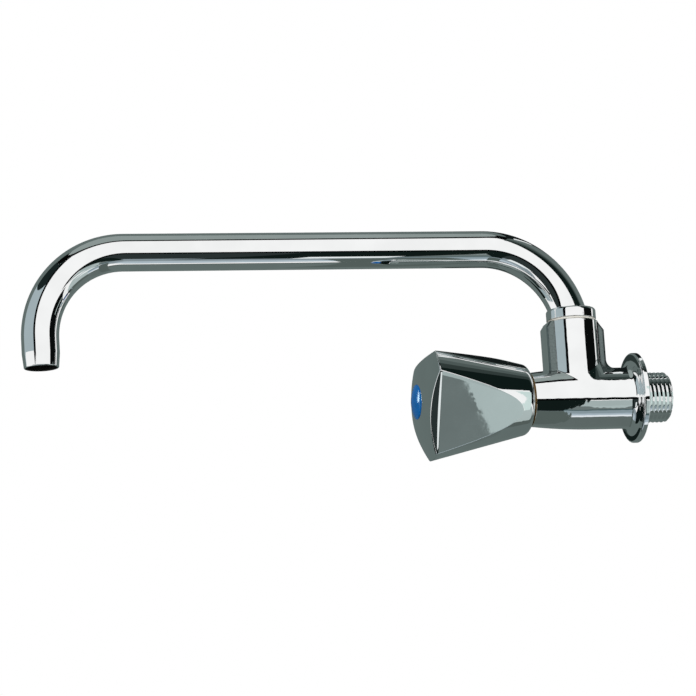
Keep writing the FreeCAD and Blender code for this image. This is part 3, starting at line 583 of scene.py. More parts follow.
def flank_painted_shade_quads(branch):
    """For each quad of the branch's skin, 2 on the ribs' flanks and their rounded edges, which get
    the satin finish darkened as painted shade, and 0 elsewhere."""
    past_bar = np.abs(branch[..., 1] - BRANCH_Y) > RIB_FLANK_START
    beside = np.abs(branch[..., 0]) > RIB_HALF_WIDTH - RIB_ROUNDING + RIB_FLANK_MARGIN
    return 2 * (past_bar & beside)[:-1].ravel()


def pierced_sleeve(radius_at, half_length, hole, rows):
    """A sleeve about the inlet axis with a hole at its top. Between the hole's rim and a square
    of the sleeve's own angle and length, points lie on straight lines in those two, so every
    one is on the sleeve. The rest of the sleeve goes round below the square."""
    across, along = square_border()
    square_angle = QUARTER_TURN - SQUARE_HALF_ANGLE * across
    share = np.linspace(0, 1, rows)[:, None]
    angle = blend(np.arctan2(hole[:, 2], hole[:, 0]), square_angle, share)
    y = blend(hole[:, 1], BRANCH_Y + half_length * along, share)
    rest_y = (BRANCH_Y + half_length * np.linspace(-1, 1, SIDE_CELLS + 1))[:, None]
    return [Patch(round_inlet(radius_at(y), angle, y)),
            Patch(round_inlet(radius_at(rest_y), rest_angles(), rest_y), ring=False)]


def rest_angles():
    start = QUARTER_TURN + SQUARE_HALF_ANGLE
    return np.linspace(start, start + 2 * (math.pi - SQUARE_HALF_ANGLE), REST_CELLS + 1)


def sleeve_angles():
    """Angles for whole rings that meet the pierced sleeves' borders point for point."""
    top = QUARTER_TURN + SQUARE_HALF_ANGLE * np.linspace(-1, 1, SIDE_CELLS + 1)
    return np.concatenate([top, rest_angles()[1:-1]])


def thread_radius_at(sizes, angle, y):
    """The thread's radius: its phase is y / pitch plus the share of a turn, the profile rises
    straight between root and crest, and it fades into the relief by the flange and the
    chamfer at the tail's end."""
    phase = (y / THREAD_PITCH + angle / FULL_TURN) % 1.0
    from_crest = np.abs(phase - 0.5)
    flank = (1 - THREAD_CREST - THREAD_ROOT) / 2
    fall = np.clip((from_crest - THREAD_CREST / 2) / flank, 0, 1)
    run_out = np.clip((y - THREAD_RELIEF) / THREAD_RUN_OUT, 0, 1)
    depth = blend(THREAD_DEPTH, THREAD_DEPTH * fall, run_out)
    chamfer = np.clip(y - (sizes.tail_length - THREAD_DEPTH), 0, None)
    return sizes.thread_radius - np.maximum(depth, chamfer)


def thread_patch(sizes, angles):
    """The thread's skin on rows that climb with the helix, so its crests and roots lie on grid
    lines; rows are held between the flange and the tail's end."""
    turn = np.append(angles, angles[0] + FULL_TURN)
    row_step = THREAD_PITCH / THREAD_ROWS
    rows = np.arange(int(sizes.tail_length / row_step) + THREAD_SPARE_ROWS)[:, None] * row_step
    y = np.clip(rows - turn * THREAD_PITCH / FULL_TURN, 0, sizes.tail_length)
    return round_inlet(thread_radius_at(sizes, turn, y), turn, y)


def body_patches(sizes):
    """The branch, the arm round its foot, the neck and chamber front, the flange, the thread,
    the waterway, and the branch's top face and socket."""
    across, along = square_border()
    branch_angles = np.arctan2(along, across)
    rings = sleeve_angles()
    branch = branch_patch(sizes, branch_angles)
    arm = pierced_sleeve(lambda y: arm_radius(sizes, y), ARM_SQUARE_HALF, branch[-1], ARM_ROWS)

    arm_front = BRANCH_Y - ARM_SQUARE_HALF
    arm_back = BRANCH_Y + ARM_SQUARE_HALF
    front = rounded([(arm_radius(sizes, arm_front), arm_front, 0),
                     (sizes.neck_radius, NECK_FACE, TURNED_BREAK),
                     (BONNET_THREAD_RADIUS, NECK_FACE, 0), (BONNET_THREAD_RADIUS, CHAMBER_FRONT, 0),
                     (CHAMBER_RADIUS, CHAMBER_FRONT, 0),
                     (CHAMBER_RADIUS, BRANCH_Y - CHAMBER_SQUARE_HALF, 0)], closed=False)
    root_radius = sizes.thread_radius - THREAD_DEPTH
    back = rounded([(sizes.arm_radius, arm_back, 0),
                    (sizes.arm_radius, -FLANGE_THICKNESS, FLANGE_ROOT_FILLET),
                    (sizes.flange_radius, -FLANGE_THICKNESS, FLANGE_EDGE_ROUNDING),
                    (sizes.flange_radius, 0, BACK_BREAK), (root_radius, 0, 0)],
                   closed=False, steps=10)
    inside = rounded([(root_radius, sizes.tail_length, 0),
                      (INLET_BORE_RADIUS, sizes.tail_length, TURNED_BREAK),
                      (INLET_BORE_RADIUS, SEAT_WEB_BACK, 0), (SEAT_THREAD_RADIUS, SEAT_WEB_BACK, 0),
                      (SEAT_THREAD_RADIUS, CHAMBER_BACK, 0), (CHAMBER_RADIUS, CHAMBER_BACK, 0),
                      (CHAMBER_RADIUS, BRANCH_Y + CHAMBER_SQUARE_HALF, 0)], closed=False)

    socket = rounded([(SOCKET_RADIUS, BRANCH_TOP, 0), (SOCKET_RADIUS, SNAP_GROOVE_HIGH, 0),
                      (SNAP_GROOVE_RADIUS, SNAP_GROOVE_HIGH, 0),
                      (SNAP_GROOVE_RADIUS, SNAP_GROOVE_LOW, 0), (SOCKET_RADIUS, SNAP_GROOVE_LOW, 0),
                      (SOCKET_RADIUS, SOCKET_FLOOR, 0), (PORT_RADIUS, SOCKET_FLOOR, 0)], closed=False)
    socket_rows = about_branch(socket, branch_angles)
    hole = socket_rows[-1].copy()
    hole[:, 2] = np.sqrt(CHAMBER_RADIUS ** 2 - hole[:, 0] ** 2)
    chamber = pierced_sleeve(lambda y: CHAMBER_RADIUS, CHAMBER_SQUARE_HALF, hole, CHAMBER_ROWS)
    for patch in chamber:
        patch.finish = 1
    # The ribs' flanks take the third finish, whose dark grey is painted shade.
    return [Patch(branch, finish=flank_painted_shade_quads(branch)), *arm, Patch(about_inlet(front[:4], rings)),
            Patch(about_inlet(front[3:], rings), finish=1), Patch(about_inlet(back, rings)),
            Patch(thread_patch(sizes, rings), ring=False),
            Patch(about_inlet(inside, rings), finish=1),
            Patch(np.stack([branch[0], socket_rows[0]]), finish=1),
            Patch(np.concatenate([socket_rows, hole[None]]), finish=1), *chamber]


# ---- the knob ----

FLAT_CELLS = 22                # columns on each flat, on each edge and on each corner
EDGE_CELLS = 6
CORNER_CELLS = 40
REAR_ROWS = 10                 # rows of points from the knob's rear edge to its dome and cavity
SIDE_ROWS = 64
BEVEL_ROWS = 6
RIM_ROWS = 8
DOME_ROWS = 16
CAVITY_ROWS = 13
DOME_GUARD = 0.03              # share of the way in where a row keeps the dome's edge clean
RIM_STEPS = 12
RIM_PROBE = 0.02 * MM          # how far behind the rim the side's direction is taken
DOME_CENTRE = KNOB_RIM + math.sqrt(KNOB_DOME_RADIUS ** 2 - KNOB_RIM_RADIUS ** 2)


def knob_lean(sizes):
    """The angle between the cone and its axis."""
    return math.atan2(sizes.rim_radius - sizes.rear_radius, KNOB_REAR - KNOB_RIM)


def knob_cone_radius(sizes, y):
    """The cone through the knob's rear and rim radii."""
    return blend(sizes.rear_radius, sizes.rim_radius, (KNOB_REAR - y) / (KNOB_REAR - KNOB_RIM))


def knob_turned_radius(sizes, y):
    """The cone with its rear corner rounded: the arc touches the cone and the rear face."""
    lean = knob_lean(sizes)
    centre_y = KNOB_REAR - KNOB_REAR_ROUNDING
    centre_radius = knob_cone_radius(sizes, centre_y) - KNOB_REAR_ROUNDING / math.cos(lean)
    touch_y = centre_y + KNOB_REAR_ROUNDING * math.sin(lean)
    past = np.clip(y - centre_y, -KNOB_REAR_ROUNDING, KNOB_REAR_ROUNDING)
    arc = centre_radius + np.sqrt(np.clip(KNOB_REAR_ROUNDING ** 2 - past ** 2, 0, None))
    return np.where(y > touch_y, arc, knob_cone_radius(sizes, y))


def knob_flat_distance(y):
    """Distance of a flat from the axis: it leans out towards the rim, and past its bevel it
    leans in."""
    lean = (KNOB_FLAT_RIM - KNOB_FLAT_REAR) / (KNOB_REAR - KNOB_RIM)
    flat = KNOB_FLAT_REAR + lean * (KNOB_REAR - np.maximum(y, KNOB_BEVEL))
    past_bevel = np.clip(KNOB_BEVEL - y, 0, None)
    return flat - past_bevel * math.tan(math.radians(KNOB_BEVEL_LEAN))


def knob_section(sizes, y):
    """Points round the knob at each y: for each of its three flats a straight side, a small
    arc at each end of it, and the cone's arc on to the next flat. The small arc's centre lies
    where a line at the flat's distance less e meets a circle of the cone's radius less e."""
    radius = knob_turned_radius(sizes, y)[:, None]
    distance = knob_flat_distance(y)[:, None]
    edge = np.minimum(KNOB_EDGE_ROUNDING, 0.5 * radius)
    centre_angle = np.arccos(np.clip((distance - edge) / (radius - edge), -1, 1))
    centre_across = (radius - edge) * np.sin(centre_angle)
    centre_out = (radius - edge) * np.cos(centre_angle)
    cuts = centre_angle > 0
    side = np.linspace(-1, 1, FLAT_CELLS + 1)[None, :-1]
    flat_across = centre_across * side
    flat_out = np.where(cuts, np.minimum(distance, radius), radius) + 0 * side
    turn = np.linspace(0, 1, EDGE_CELLS + 1)[None, :-1] * centre_angle
    edge_across = centre_across + edge * np.sin(turn)
    edge_out = centre_out + edge * np.cos(turn)
    sector = FULL_TURN / KNOB_FLATS
    sweep = blend(centre_angle, sector - centre_angle, np.linspace(0, 1, CORNER_CELLS + 1)[None, :])
    corner_across = radius * np.sin(sweep)
    corner_out = radius * np.cos(sweep)
    next_turn = np.linspace(1, 0, EDGE_CELLS + 1)[None, 1:-1] * centre_angle
    back_across = -centre_across - edge * np.sin(next_turn)
    back_out = centre_out + edge * np.cos(next_turn)
    next_across = back_across * math.cos(sector) + back_out * math.sin(sector)
    next_out = back_out * math.cos(sector) - back_across * math.sin(sector)
    across = np.concatenate([flat_across, edge_across, corner_across, next_across], axis=1)
    out = np.concatenate([flat_out, edge_out, corner_out, next_out], axis=1)
    sides = []
    for flat in range(KNOB_FLATS):
        facing = math.radians(KNOB_FLAT_TURN) + flat * sector
        sides.append(np.stack([out * math.cos(facing) - across * math.sin(facing),
                               y[:, None] + 0 * out,
                               out * math.sin(facing) + across * math.cos(facing)], axis=-1))
    return np.concatenate(sides, axis=1)


def knob_dome_y(points):
    """The domed face's y over points: the sphere's centre less the root of its radius squared
    less the distance from the axis squared."""
    off_axis = np.hypot(points[..., 0], points[..., 2])
    return DOME_CENTRE - np.sqrt(KNOB_DOME_RADIUS ** 2 - off_axis ** 2)


def on_columns(sizes, y):
    """One point of the knob's side for each of its columns, each at a y of its own."""
    columns = np.arange(len(y))
    return knob_section(sizes, y)[columns, columns]


def knob_rim(sizes):
    """Where each column of the side meets the dome, by stepping y to the dome's height and
    taking the side there again, and the side's direction there, away from the rim."""
    y = np.full(knob_section(sizes, np.array([KNOB_RIM])).shape[1], KNOB_RIM)
    for _ in range(RIM_STEPS):
        y = knob_dome_y(on_columns(sizes, y))
    border = on_columns(sizes, y)
    return border, unit(on_columns(sizes, y + RIM_PROBE) - border)


def knob_patches(sizes):
    """Side, rim, domed face and hollows. The rim is an arc of KNOB_RIM_ROUNDING between the
    side's and the dome's outward directions; its centre lies inside the corner at the
    rounding times their sum over one plus their product."""
    rear_turn = np.linspace(0, QUARTER_TURN - knob_lean(sizes), REAR_ROWS)
    rear_y = KNOB_REAR - KNOB_REAR_ROUNDING * (1 - np.cos(rear_turn))
    side_y = np.concatenate([rear_y, np.linspace(rear_y[-1], KNOB_BEVEL, SIDE_ROWS)[1:]])
    side = knob_section(sizes, side_y)

    border, along = knob_rim(sizes)
    side_out = unit(np.cross(along, np.roll(border, -1, axis=0) - np.roll(border, 1, axis=0)))
    side_out *= np.sign(np.sum(side_out * border * [1, 0, 1], axis=-1, keepdims=True))
    dome_out = unit(border - [0, DOME_CENTRE, 0])
    product = np.sum(side_out * dome_out, axis=-1, keepdims=True)
    arc_centre = border - KNOB_RIM_ROUNDING * (side_out + dome_out) / (1 + product)
    rim = arc_centre + KNOB_RIM_ROUNDING * swing(side_out, dome_out, np.arccos(product),
                                                 np.linspace(0, 1, RIM_ROWS)[:, None, None])
    bevel = blend(side[-1], rim[0], np.linspace(0, 1, BEVEL_ROWS)[1:-1, None, None])

    recess = sizes.button_radius + RUNNING
    rim_angle = np.arctan2(rim[-1, :, 2], rim[-1, :, 0])
    inward = np.append(DOME_GUARD, np.linspace(0, 1, DOME_ROWS)[1:])[:, None, None]
    dome = blend(rim[-1], round_inlet(recess, rim_angle, 0.0), inward)
    dome[..., 1] = knob_dome_y(dome)

    recess_floor = float(BUTTON_SPAN[1, 1])
    hollow = np.array([(recess, dome[-1, 0, 1]), (recess, recess_floor),
                       (SCREW_WELL_RADIUS, recess_floor), (SCREW_WELL_RADIUS, SCREW_SEAT),
                       (SCREW_HOLE_RADIUS, SCREW_SEAT), (SCREW_HOLE_RADIUS, INSERT_END),
                       (INSERT_RADIUS, INSERT_END), (INSERT_RADIUS, HUB_END), (HUB_RADIUS, HUB_END),
                       (HUB_RADIUS, KNOB_CAVITY_FLOOR), (KNOB_CAVITY_FRONT, KNOB_CAVITY_FLOOR)])
    rear_angle = np.arctan2(side[0, :, 2], side[0, :, 0])
    turn_back = (rear_angle - rim_angle + math.pi) % FULL_TURN - math.pi
    share = np.linspace(0, 1, CAVITY_ROWS)[1:, None]
    cavity = round_inlet(blend(KNOB_CAVITY_FRONT, KNOB_CAVITY_REAR, share),
                         rim_angle + turn_back * share, blend(KNOB_CAVITY_FLOOR, KNOB_REAR, share))
    return [Patch(np.concatenate([side, bevel, rim, dome])),
            Patch(np.concatenate([about_inlet(hollow, rim_angle), cavity, side[:1]]))]


CAP_ROWS = 22                  # rows of points on the button's cap and on its rounded edge
CAP_EDGE_ROWS = 7


def button_patches(sizes):
    """A dome of BUTTON_DOME_HEIGHT over a skirt. The dome is a sphere's cap, whose radius is
    (edge squared + height squared) / (2 height)."""
    apex = float(BUTTON_SPAN[0, 1])
    floor = float(BUTTON_SPAN[1, 1])
    edge_y = apex + BUTTON_DOME_HEIGHT
    ball = (sizes.button_radius ** 2 + BUTTON_DOME_HEIGHT ** 2) / (2 * BUTTON_DOME_HEIGHT)
    rounding = BUTTON_EDGE_ROUNDING
    cap = math.asin((sizes.button_radius - rounding) / (ball - rounding))
    cap_turn = np.linspace(0, cap, CAP_ROWS)
    dome = np.stack([ball * np.sin(cap_turn), apex + ball * (1 - np.cos(cap_turn))], axis=1)
    edge_turn = np.linspace(cap, QUARTER_TURN, CAP_EDGE_ROWS)[1:]
    edge_centre = np.array([sizes.button_radius - rounding,
                            apex + ball - (ball - rounding) * math.cos(cap)])
    edge = edge_centre + rounding * np.stack([np.sin(edge_turn), -np.cos(edge_turn)], axis=1)
    skirt = sizes.button_radius - BUTTON_SKIRT_WALL
    rest = np.array([(sizes.button_radius, edge_y + BUTTON_BAND), (sizes.button_radius, floor),
                     (skirt, floor), (skirt, edge_y + BUTTON_PLATE), (0, edge_y + BUTTON_PLATE)])
    return [Patch(about_inlet(np.concatenate([dome, edge, rest]), full_turn(ROUND_CELLS)))]


# ---- materials ----

NOISE_BAND = (0.35, 0.65)      # a noise's values seldom leave this band
TOOL_MARKS = (0.05, 1.0, 0.05)     # draws a noise out round the piece, as rings along Y
METAL = {"Metallic": 1.0}


def add_node(tree, kind, settings=None, links=None):
    """Adds a node of that kind; settings go to its properties or, by name, to its inputs, and
    links join an input, by name or number, to another node's output."""
    node = tree.nodes.new(kind)
    for name, value in (settings or {}).items():
        if name in node.inputs:
            node.inputs[name].default_value = value
        else:
            setattr(node, name, value)
    for place, (source, output) in (links or {}).items():
        tree.links.new(source.outputs[output], node.inputs[place])
    return node


def empty_material(name):
    material = bpy.data.materials.new(name)
    material.use_nodes = True
    material.node_tree.nodes.clear()
    return material, material.node_tree


def surface(name, settings, patterns, tones, roughness=None, relief=None):
    """The material of that name, made the first time it is asked for. settings are its shader's
    constants. A pattern is a noise on the piece, with the size of its cells, its detail and, on
    tool marks, its stretch. The first pattern spreads the two tones over the piece, and the two
    ends of its roughness. The last one raises its relief, given as a height and a strength."""
    if name in bpy.data.materials:
        return bpy.data.materials[name]
    material, tree = empty_material(name)
    coordinates = add_node(tree, "ShaderNodeTexCoord")
    noises = []
    for size, detail, *stretch in patterns:
        place = (coordinates, "Object")
        if stretch:
            mapping = add_node(tree, "ShaderNodeMapping", {"Scale": stretch[0]}, {"Vector": place})
            place = (mapping, "Vector")
        noises.append(add_node(tree, "ShaderNodeTexNoise", {"Scale": 1.0 / size, "Detail": detail},
                               {"Vector": place}))
    ramp = add_node(tree, "ShaderNodeValToRGB", links={"Fac": (noises[0], "Fac")})
    for element, position, tone in zip(ramp.color_ramp.elements, NOISE_BAND, tones):
        element.position = position
        element.color = tone
    links = {"Base Color": (ramp, "Color")}
    if roughness:
        ends = {"From Min": NOISE_BAND[0], "From Max": NOISE_BAND[1],
                "To Min": roughness[0], "To Max": roughness[1]}
        haze = add_node(tree, "ShaderNodeMapRange", ends, {"Value": (noises[0], "Fac")})
        links["Roughness"] = (haze, "Result")
    if relief:
        bump = add_node(tree, "ShaderNodeBump", {"Distance": relief[0], "Strength": relief[1]},
                        {"Height": (noises[-1], "Fac")})
        links["Normal"] = (bump, "Normal")
    shader = add_node(tree, "ShaderNodeBsdfPrincipled", settings, links)
    add_node(tree, "ShaderNodeOutputMaterial", links={"Surface": (shader, "BSDF")})
    return material


def dimmed(rgb, share):
    return (rgb[0] * share, rgb[1] * share, rgb[2] * share, 1.0)


def plating(name, rgb, ripple, ripple_height):
    """Bright chromium over nickel: a clear mirror whose polish leaves faint haze patches about
    12 mm across and ripples that bend the edges of reflections."""
    return surface(name, METAL, [(12 * MM, 3.0), (ripple, 1.0)],
                   (dimmed(rgb, 0.95), dimmed(rgb, 1.0)), (0.015, 0.04), (ripple_height, 1.0))


def tube_chrome():
    """Plating on drawn tube, whose long ripples hardly show."""
    rgb = bpy.context.scene.faucet.finishes.chrome
    return plating("chrome_on_drawn_brass", rgb, 9 * MM, 0.003 * MM)


def body_chrome():
    """Plating on a polished casting, whose ripples bend the reflections' edges."""
    rgb = bpy.context.scene.faucet.finishes.chrome
    return plating("chrome_on_cast_brass", rgb, 4 * MM, 0.045 * MM)


def knob_chrome():
    """Plating on die-cast zinc, with ripples finer than the body's."""
    rgb = bpy.context.scene.faucet.finishes.knob_chrome
    return plating("chrome_on_die_cast_zinc", rgb, 3 * MM, 0.004 * MM)


def satin_flank_painted_shade():
    """The ribs' flanks: satin plating with pits 0.6 mm across, its dark grey colour painted shade
    that stands in for the dark reflections there."""
    # The grey tones are painted shade, far darker than the chrome's own colour.
    return surface("satin_chrome_painted_shade", METAL, [(0.6 * MM, 3.0)],
                   (srgb("#667170"), srgb("#7b8685")), (0.3, 0.45), (0.01 * MM, 0.6))


def bare_brass():
    """Turned brass: warm metal with the tool's fine rings, drawn at 0.4 mm so that they show,
    and a dull bloom from the water in patches 3 mm across."""
    rgb = bpy.context.scene.faucet.finishes.brass
    return surface("turned_brass", METAL, [(3 * MM, 4.0), (0.4 * MM, 2.0, TOOL_MARKS)],
                   (dimmed(rgb, 0.72), dimmed(rgb, 1.0)), (0.28, 0.42), (0.01 * MM, 0.6))


def bore_brass_painted_shade():
    """The tube's bore: brass darkened nearly black as painted shade inside the tube, blotched at 4
    mm.
    """
    return surface("brass_bore_painted_shade", {"Metallic": 0.6}, [(4 * MM, 3.0)],
                   (srgb("#0d1010"), srgb("#2a2a24")), (0.4, 0.6))


def turned_steel():
    """Stainless steel from the lathe: grey, with rings 0.3 mm apart along the axis."""
    return surface("turned_stainless_steel", METAL, [(0.3 * MM, 2.0, TOOL_MARKS)],
                   (srgb("#a3a5a6"), srgb("#c2c4c5")), (0.2, 0.32), (0.01 * MM, 0.5))


def spring_steel():
    """Blanked and tempered spring steel: dark blue-grey with straw patches 2 mm across."""
    return surface("tempered_spring_steel", METAL, [(2 * MM, 3.0)],
                   (srgb("#4a5058"), srgb("#77736a")), (0.3, 0.45))


def moulded_rubber():
    """Nitrile rubber: near black and matt, with a moulded skin of 0.2 mm grain."""
    return surface("nitrile_rubber", {}, [(0.2 * MM, 3.0)], (srgb("#151515"), srgb("#232322")),
                   (0.55, 0.75), (0.01 * MM, 0.5))


def pressed_fibre():
    """Vulcanised fibre: khaki, with flecks of its paper 0.5 mm long."""
    return surface("vulcanised_fibre", {}, [(0.5 * MM, 4.0)], (srgb("#9a8f74"), srgb("#bdb296")),
                   (0.65, 0.85), (0.02 * MM, 0.6))


def moulded_acetal():
    """Natural acetal: off-white and slightly waxy, with faint flow marks 1.5 mm across."""
    return surface("moulded_acetal", {"IOR": 1.48}, [(1.5 * MM, 2.0)],
                   (srgb("#dddcd3"), srgb("#eae9e2")), (0.3, 0.4))


def button_plastic():
    """Moulded ABS coloured through: glossy blue with a clear skin, and flow marks 3 mm across
    that shift its depth a little. Its specular tint keeps its highlight bluish."""
    rgb = bpy.context.scene.faucet.finishes.button
    return surface("glossy_blue_abs", {"IOR": 1.46, "Specular Tint": srgb("#a2e0ee")},
                   [(3 * MM, 2.0)], (dimmed(rgb, 0.82), dimmed(rgb, 1.0)), (0.1, 0.16),
                   (0.01 * MM, 0.3))


def floor_paint():
    """Matt floor paint: nearly white, mottled at 40 mm."""
    return surface("matt_floor_paint", {"Roughness": 0.9}, [(40 * MM, 3.0)],
                   (srgb("#f0f0ef"), srgb("#f6f6f5")))


INNER_MATERIALS = {            # by the record's material slot
    "brass": bare_brass,
    "stainless": turned_steel,
    "spring_steel": spring_steel,
    "seal_rubber": moulded_rubber,
    "fibre": pressed_fibre,
    "slide_plastic": moulded_acetal,
}


# ---- operators ----

class FAUCET_OT_spout(bpy.types.Operator):
    """Add the spout's bent tube, its collar and the ring it turns on"""
    bl_idname = "faucet.spout"
    bl_label = "Spout"

    def execute(self, context):
        sizes = context.scene.faucet.spout
        # The tube's second finish, on its bore, is nearly black painted shade.
        make_piece("swan_neck_tube", "spout", spout_patches(sizes),
                   [tube_chrome(), bore_brass_painted_shade()], ["spout_tube"])
        make_piece("spout_collar", "spout", ferrule_patches(sizes), [body_chrome()],
                   ["spout_ferrule"])
        make_piece("collar_slip_ring", "tap_body", slip_ring_patches(), [moulded_acetal()],
                   ["spout_slip_ring"])
        return {"FINISHED"}


class FAUCET_OT_body(bpy.types.Operator):
    """Add the body with its ribbed branch, wall flange and threaded tail"""
    bl_idname = "faucet.body"
    bl_label = "Body"

    def execute(self, context):
        sizes = context.scene.faucet.body
        # The third finish darkens the ribs' flanks as painted shade.
        make_piece("ribbed_body", "tap_body", body_patches(sizes),
                   [body_chrome(), bare_brass(), satin_flank_painted_shade()], ["valve_body"])
        return {"FINISHED"}


class FAUCET_OT_knob(bpy.types.Operator):
    """Add the three-cornered knob and its blue button"""
    bl_idname = "faucet.knob"
    bl_label = "Knob"

    def execute(self, context):
        sizes = context.scene.faucet.knob
        make_piece("three_cornered_knob", "knob", knob_patches(sizes),
                   [knob_chrome()], ["knob"])
        make_piece("blue_button", "knob", button_patches(sizes),
                   [button_plastic()], ["index_button"])
        return {"FINISHED"}


class FAUCET_OT_inner_parts(bpy.types.Operator):
    """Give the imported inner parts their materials"""
    bl_idname = "faucet.inner_parts"
    bl_label = "Inner parts"

    def execute(self, context):
        for part in frame["record"]["subparts"]:
            node = frame["nodes"][part["node"]]
            slot = part["material_slot"]
            if not node.hide_render and slot in INNER_MATERIALS:
                node.data.materials.clear()
                node.data.materials.append(INNER_MATERIALS[slot]())
        return {"FINISHED"}


# ---- stage ----

OBJECT_MIDDLE = (0.0, -0.11, 0.03)
CAMERA_AZIMUTH = 75.74         # from -Y towards +X, in degrees
CAMERA_ELEVATION = -11.275
CAMERA_ROLL = 3.664
CAMERA_DISTANCE = 1.5
PIXELS_PER_METRE = 2424.0      # in the 696 px image, at the object's middle
IMAGE_SIZE = 696
MIDDLE_IN_IMAGE = (376.85, 331.3)
SENSOR = 36.0
CLIP_END = 20.0


def camera_axes():
    """Right, up and back of the camera, from its azimuth, elevation and roll."""
    azimuth = math.radians(CAMERA_AZIMUTH)
    elevation = math.radians(CAMERA_ELEVATION)
    roll = math.radians(CAMERA_ROLL)
    back = Vector((math.sin(azimuth) * math.cos(elevation),
                   -math.cos(azimuth) * math.cos(elevation), math.sin(elevation)))
    right = Vector((0, 0, 1)).cross(back).normalized()
    up = back.cross(right)
    turned_right = right * math.cos(roll) - up * math.sin(roll)
    turned_up = right * math.sin(roll) + up * math.cos(roll)
    return turned_right, turned_up, back


def add_camera():
    right, up, back = camera_axes()
    data = bpy.data.cameras.new("photo_camera")
    data.sensor_width = SENSOR
    data.lens = PIXELS_PER_METRE * CAMERA_DISTANCE / IMAGE_SIZE * SENSOR
    data.shift_x = (IMAGE_SIZE / 2 - MIDDLE_IN_IMAGE[0]) / IMAGE_SIZE
    data.shift_y = (MIDDLE_IN_IMAGE[1] - IMAGE_SIZE / 2) / IMAGE_SIZE
    data.clip_end = CLIP_END
    camera = bpy.data.objects.new("photo_camera", data)
    bpy.context.scene.collection.objects.link(camera)
    place = Vector(OBJECT_MIDDLE) + back * CAMERA_DISTANCE
    camera.matrix_world = Matrix.Translation(place) @ Matrix((right, up, back)).transposed().to_4x4()
    bpy.context.scene.camera = camera


def add_stage_mesh(name, patch, material):
    mesh = bpy.data.meshes.new(name)
    mesh.from_pydata(patch.points.reshape(-1, 3).tolist(), [], patch.quads(0).tolist())
    mesh.materials.append(material)
    panel = bpy.data.objects.new(name, mesh)
    bpy.context.scene.collection.objects.link(panel)
    return panel


def add_card(name, patch, hexcode):
    """A studio panel of one grey, which shines as bright as it is written. It shows in
    reflections, where a studio's flags and tents do, and not in the view."""
    material, tree = empty_material(name)
    light = add_node(tree, "ShaderNodeEmission", {"Color": srgb(hexcode), "Strength": 1.0})
    add_node(tree, "ShaderNodeOutputMaterial", links={"Surface": (light, "Emission")})
    panel = add_stage_mesh(name, patch, material)
    panel.visible_camera = False
    panel.visible_shadow = False
    panel.visible_diffuse = False


def sphere_patch(azimuths, elevations):
    """Part of a sphere round the object, between two azimuths from +X towards +Y and two
    elevations, in degrees: x, y, z are its radius times the cosines and sines of the two."""
    azimuth = np.radians(np.linspace(*azimuths, SPHERE_COLUMNS))[None, :]
    elevation = np.radians(np.linspace(*elevations, SPHERE_ROWS))[:, None]
    points = np.stack([np.cos(elevation) * np.cos(azimuth), np.cos(elevation) * np.sin(azimuth),
                       np.sin(elevation) + 0 * azimuth], axis=-1)
    return Patch(SPHERE_RADIUS * points + np.array(OBJECT_MIDDLE), ring=False)


def flat_patch(axis, level, corners):
    """A flat panel at level along the axis X, Y or Z; its corners in turn are given by the
    other two coordinates, in metres."""
    points = np.insert(np.array(corners, dtype=float), axis, level, axis=1)
    return Patch(points[[0, 1, 3, 2]].reshape(2, 2, 3), ring=False)


def oblong(first, second):
    """Corners in turn of the oblong between two opposite corners."""
    return (first, (second[0], first[1]), second, (first[0], second[1]))


SPHERE_RADIUS = 3.0
SPHERE_COLUMNS = 33
SPHERE_ROWS = 17

FAR_CARDS = (                  # name, azimuths, elevations, colour
    ("cool_side_panel", (-121, -52), (4, 41), "#a9b8bd"),
    ("high_side_flag", (-121, -52), (41, 60), "#1a2424"),
    ("side_panel_edge", (-52, -40), (0, 60), "#080a0a"),
    ("wall_side_flag", (48, 96), (-15, 60), "#0b0d0d"),
    ("high_dark_flag", (96, 120), (44, 60), "#2c3534"),
    ("far_grey_panel", (105, 239), (-86, 68), "#667270"),
    ("ceiling_edge", (-121, 105), (60, 68), "#050606"),
    ("ceiling_panel", (0, 360), (68, 90), "#939e9c"),
    ("low_blue_panel", (-121, 55), (-66, -49), "#8b989e"),
    ("low_bright_panel", (-121, 55), (-86, -66), "#b4c2cb"),
    ("low_wall_panel", (50, 85), (-62, -22), "#b3c0bf"),
    ("low_wall_edge", (85, 105), (-86, -22), "#58625f"),
)

BESIDE = 0.5                   # x of the panels beside the object
WALL_SIDE = 0.2                # x of the flag beside the wall
CLOSE = 0.1                    # x of the panels right beside the knob
BEHIND = -0.1                  # x of the flags behind the flange
FRONT = -0.2                   # y of the flag before the knob
ABOVE = 0.3                    # z of the panels over the object
WINDOW = 0.298                 # z of the window, which lies just under those panels and covers them
BELOW = -0.3                   # z of the panels under it
X, Y, Z = 0, 1, 2

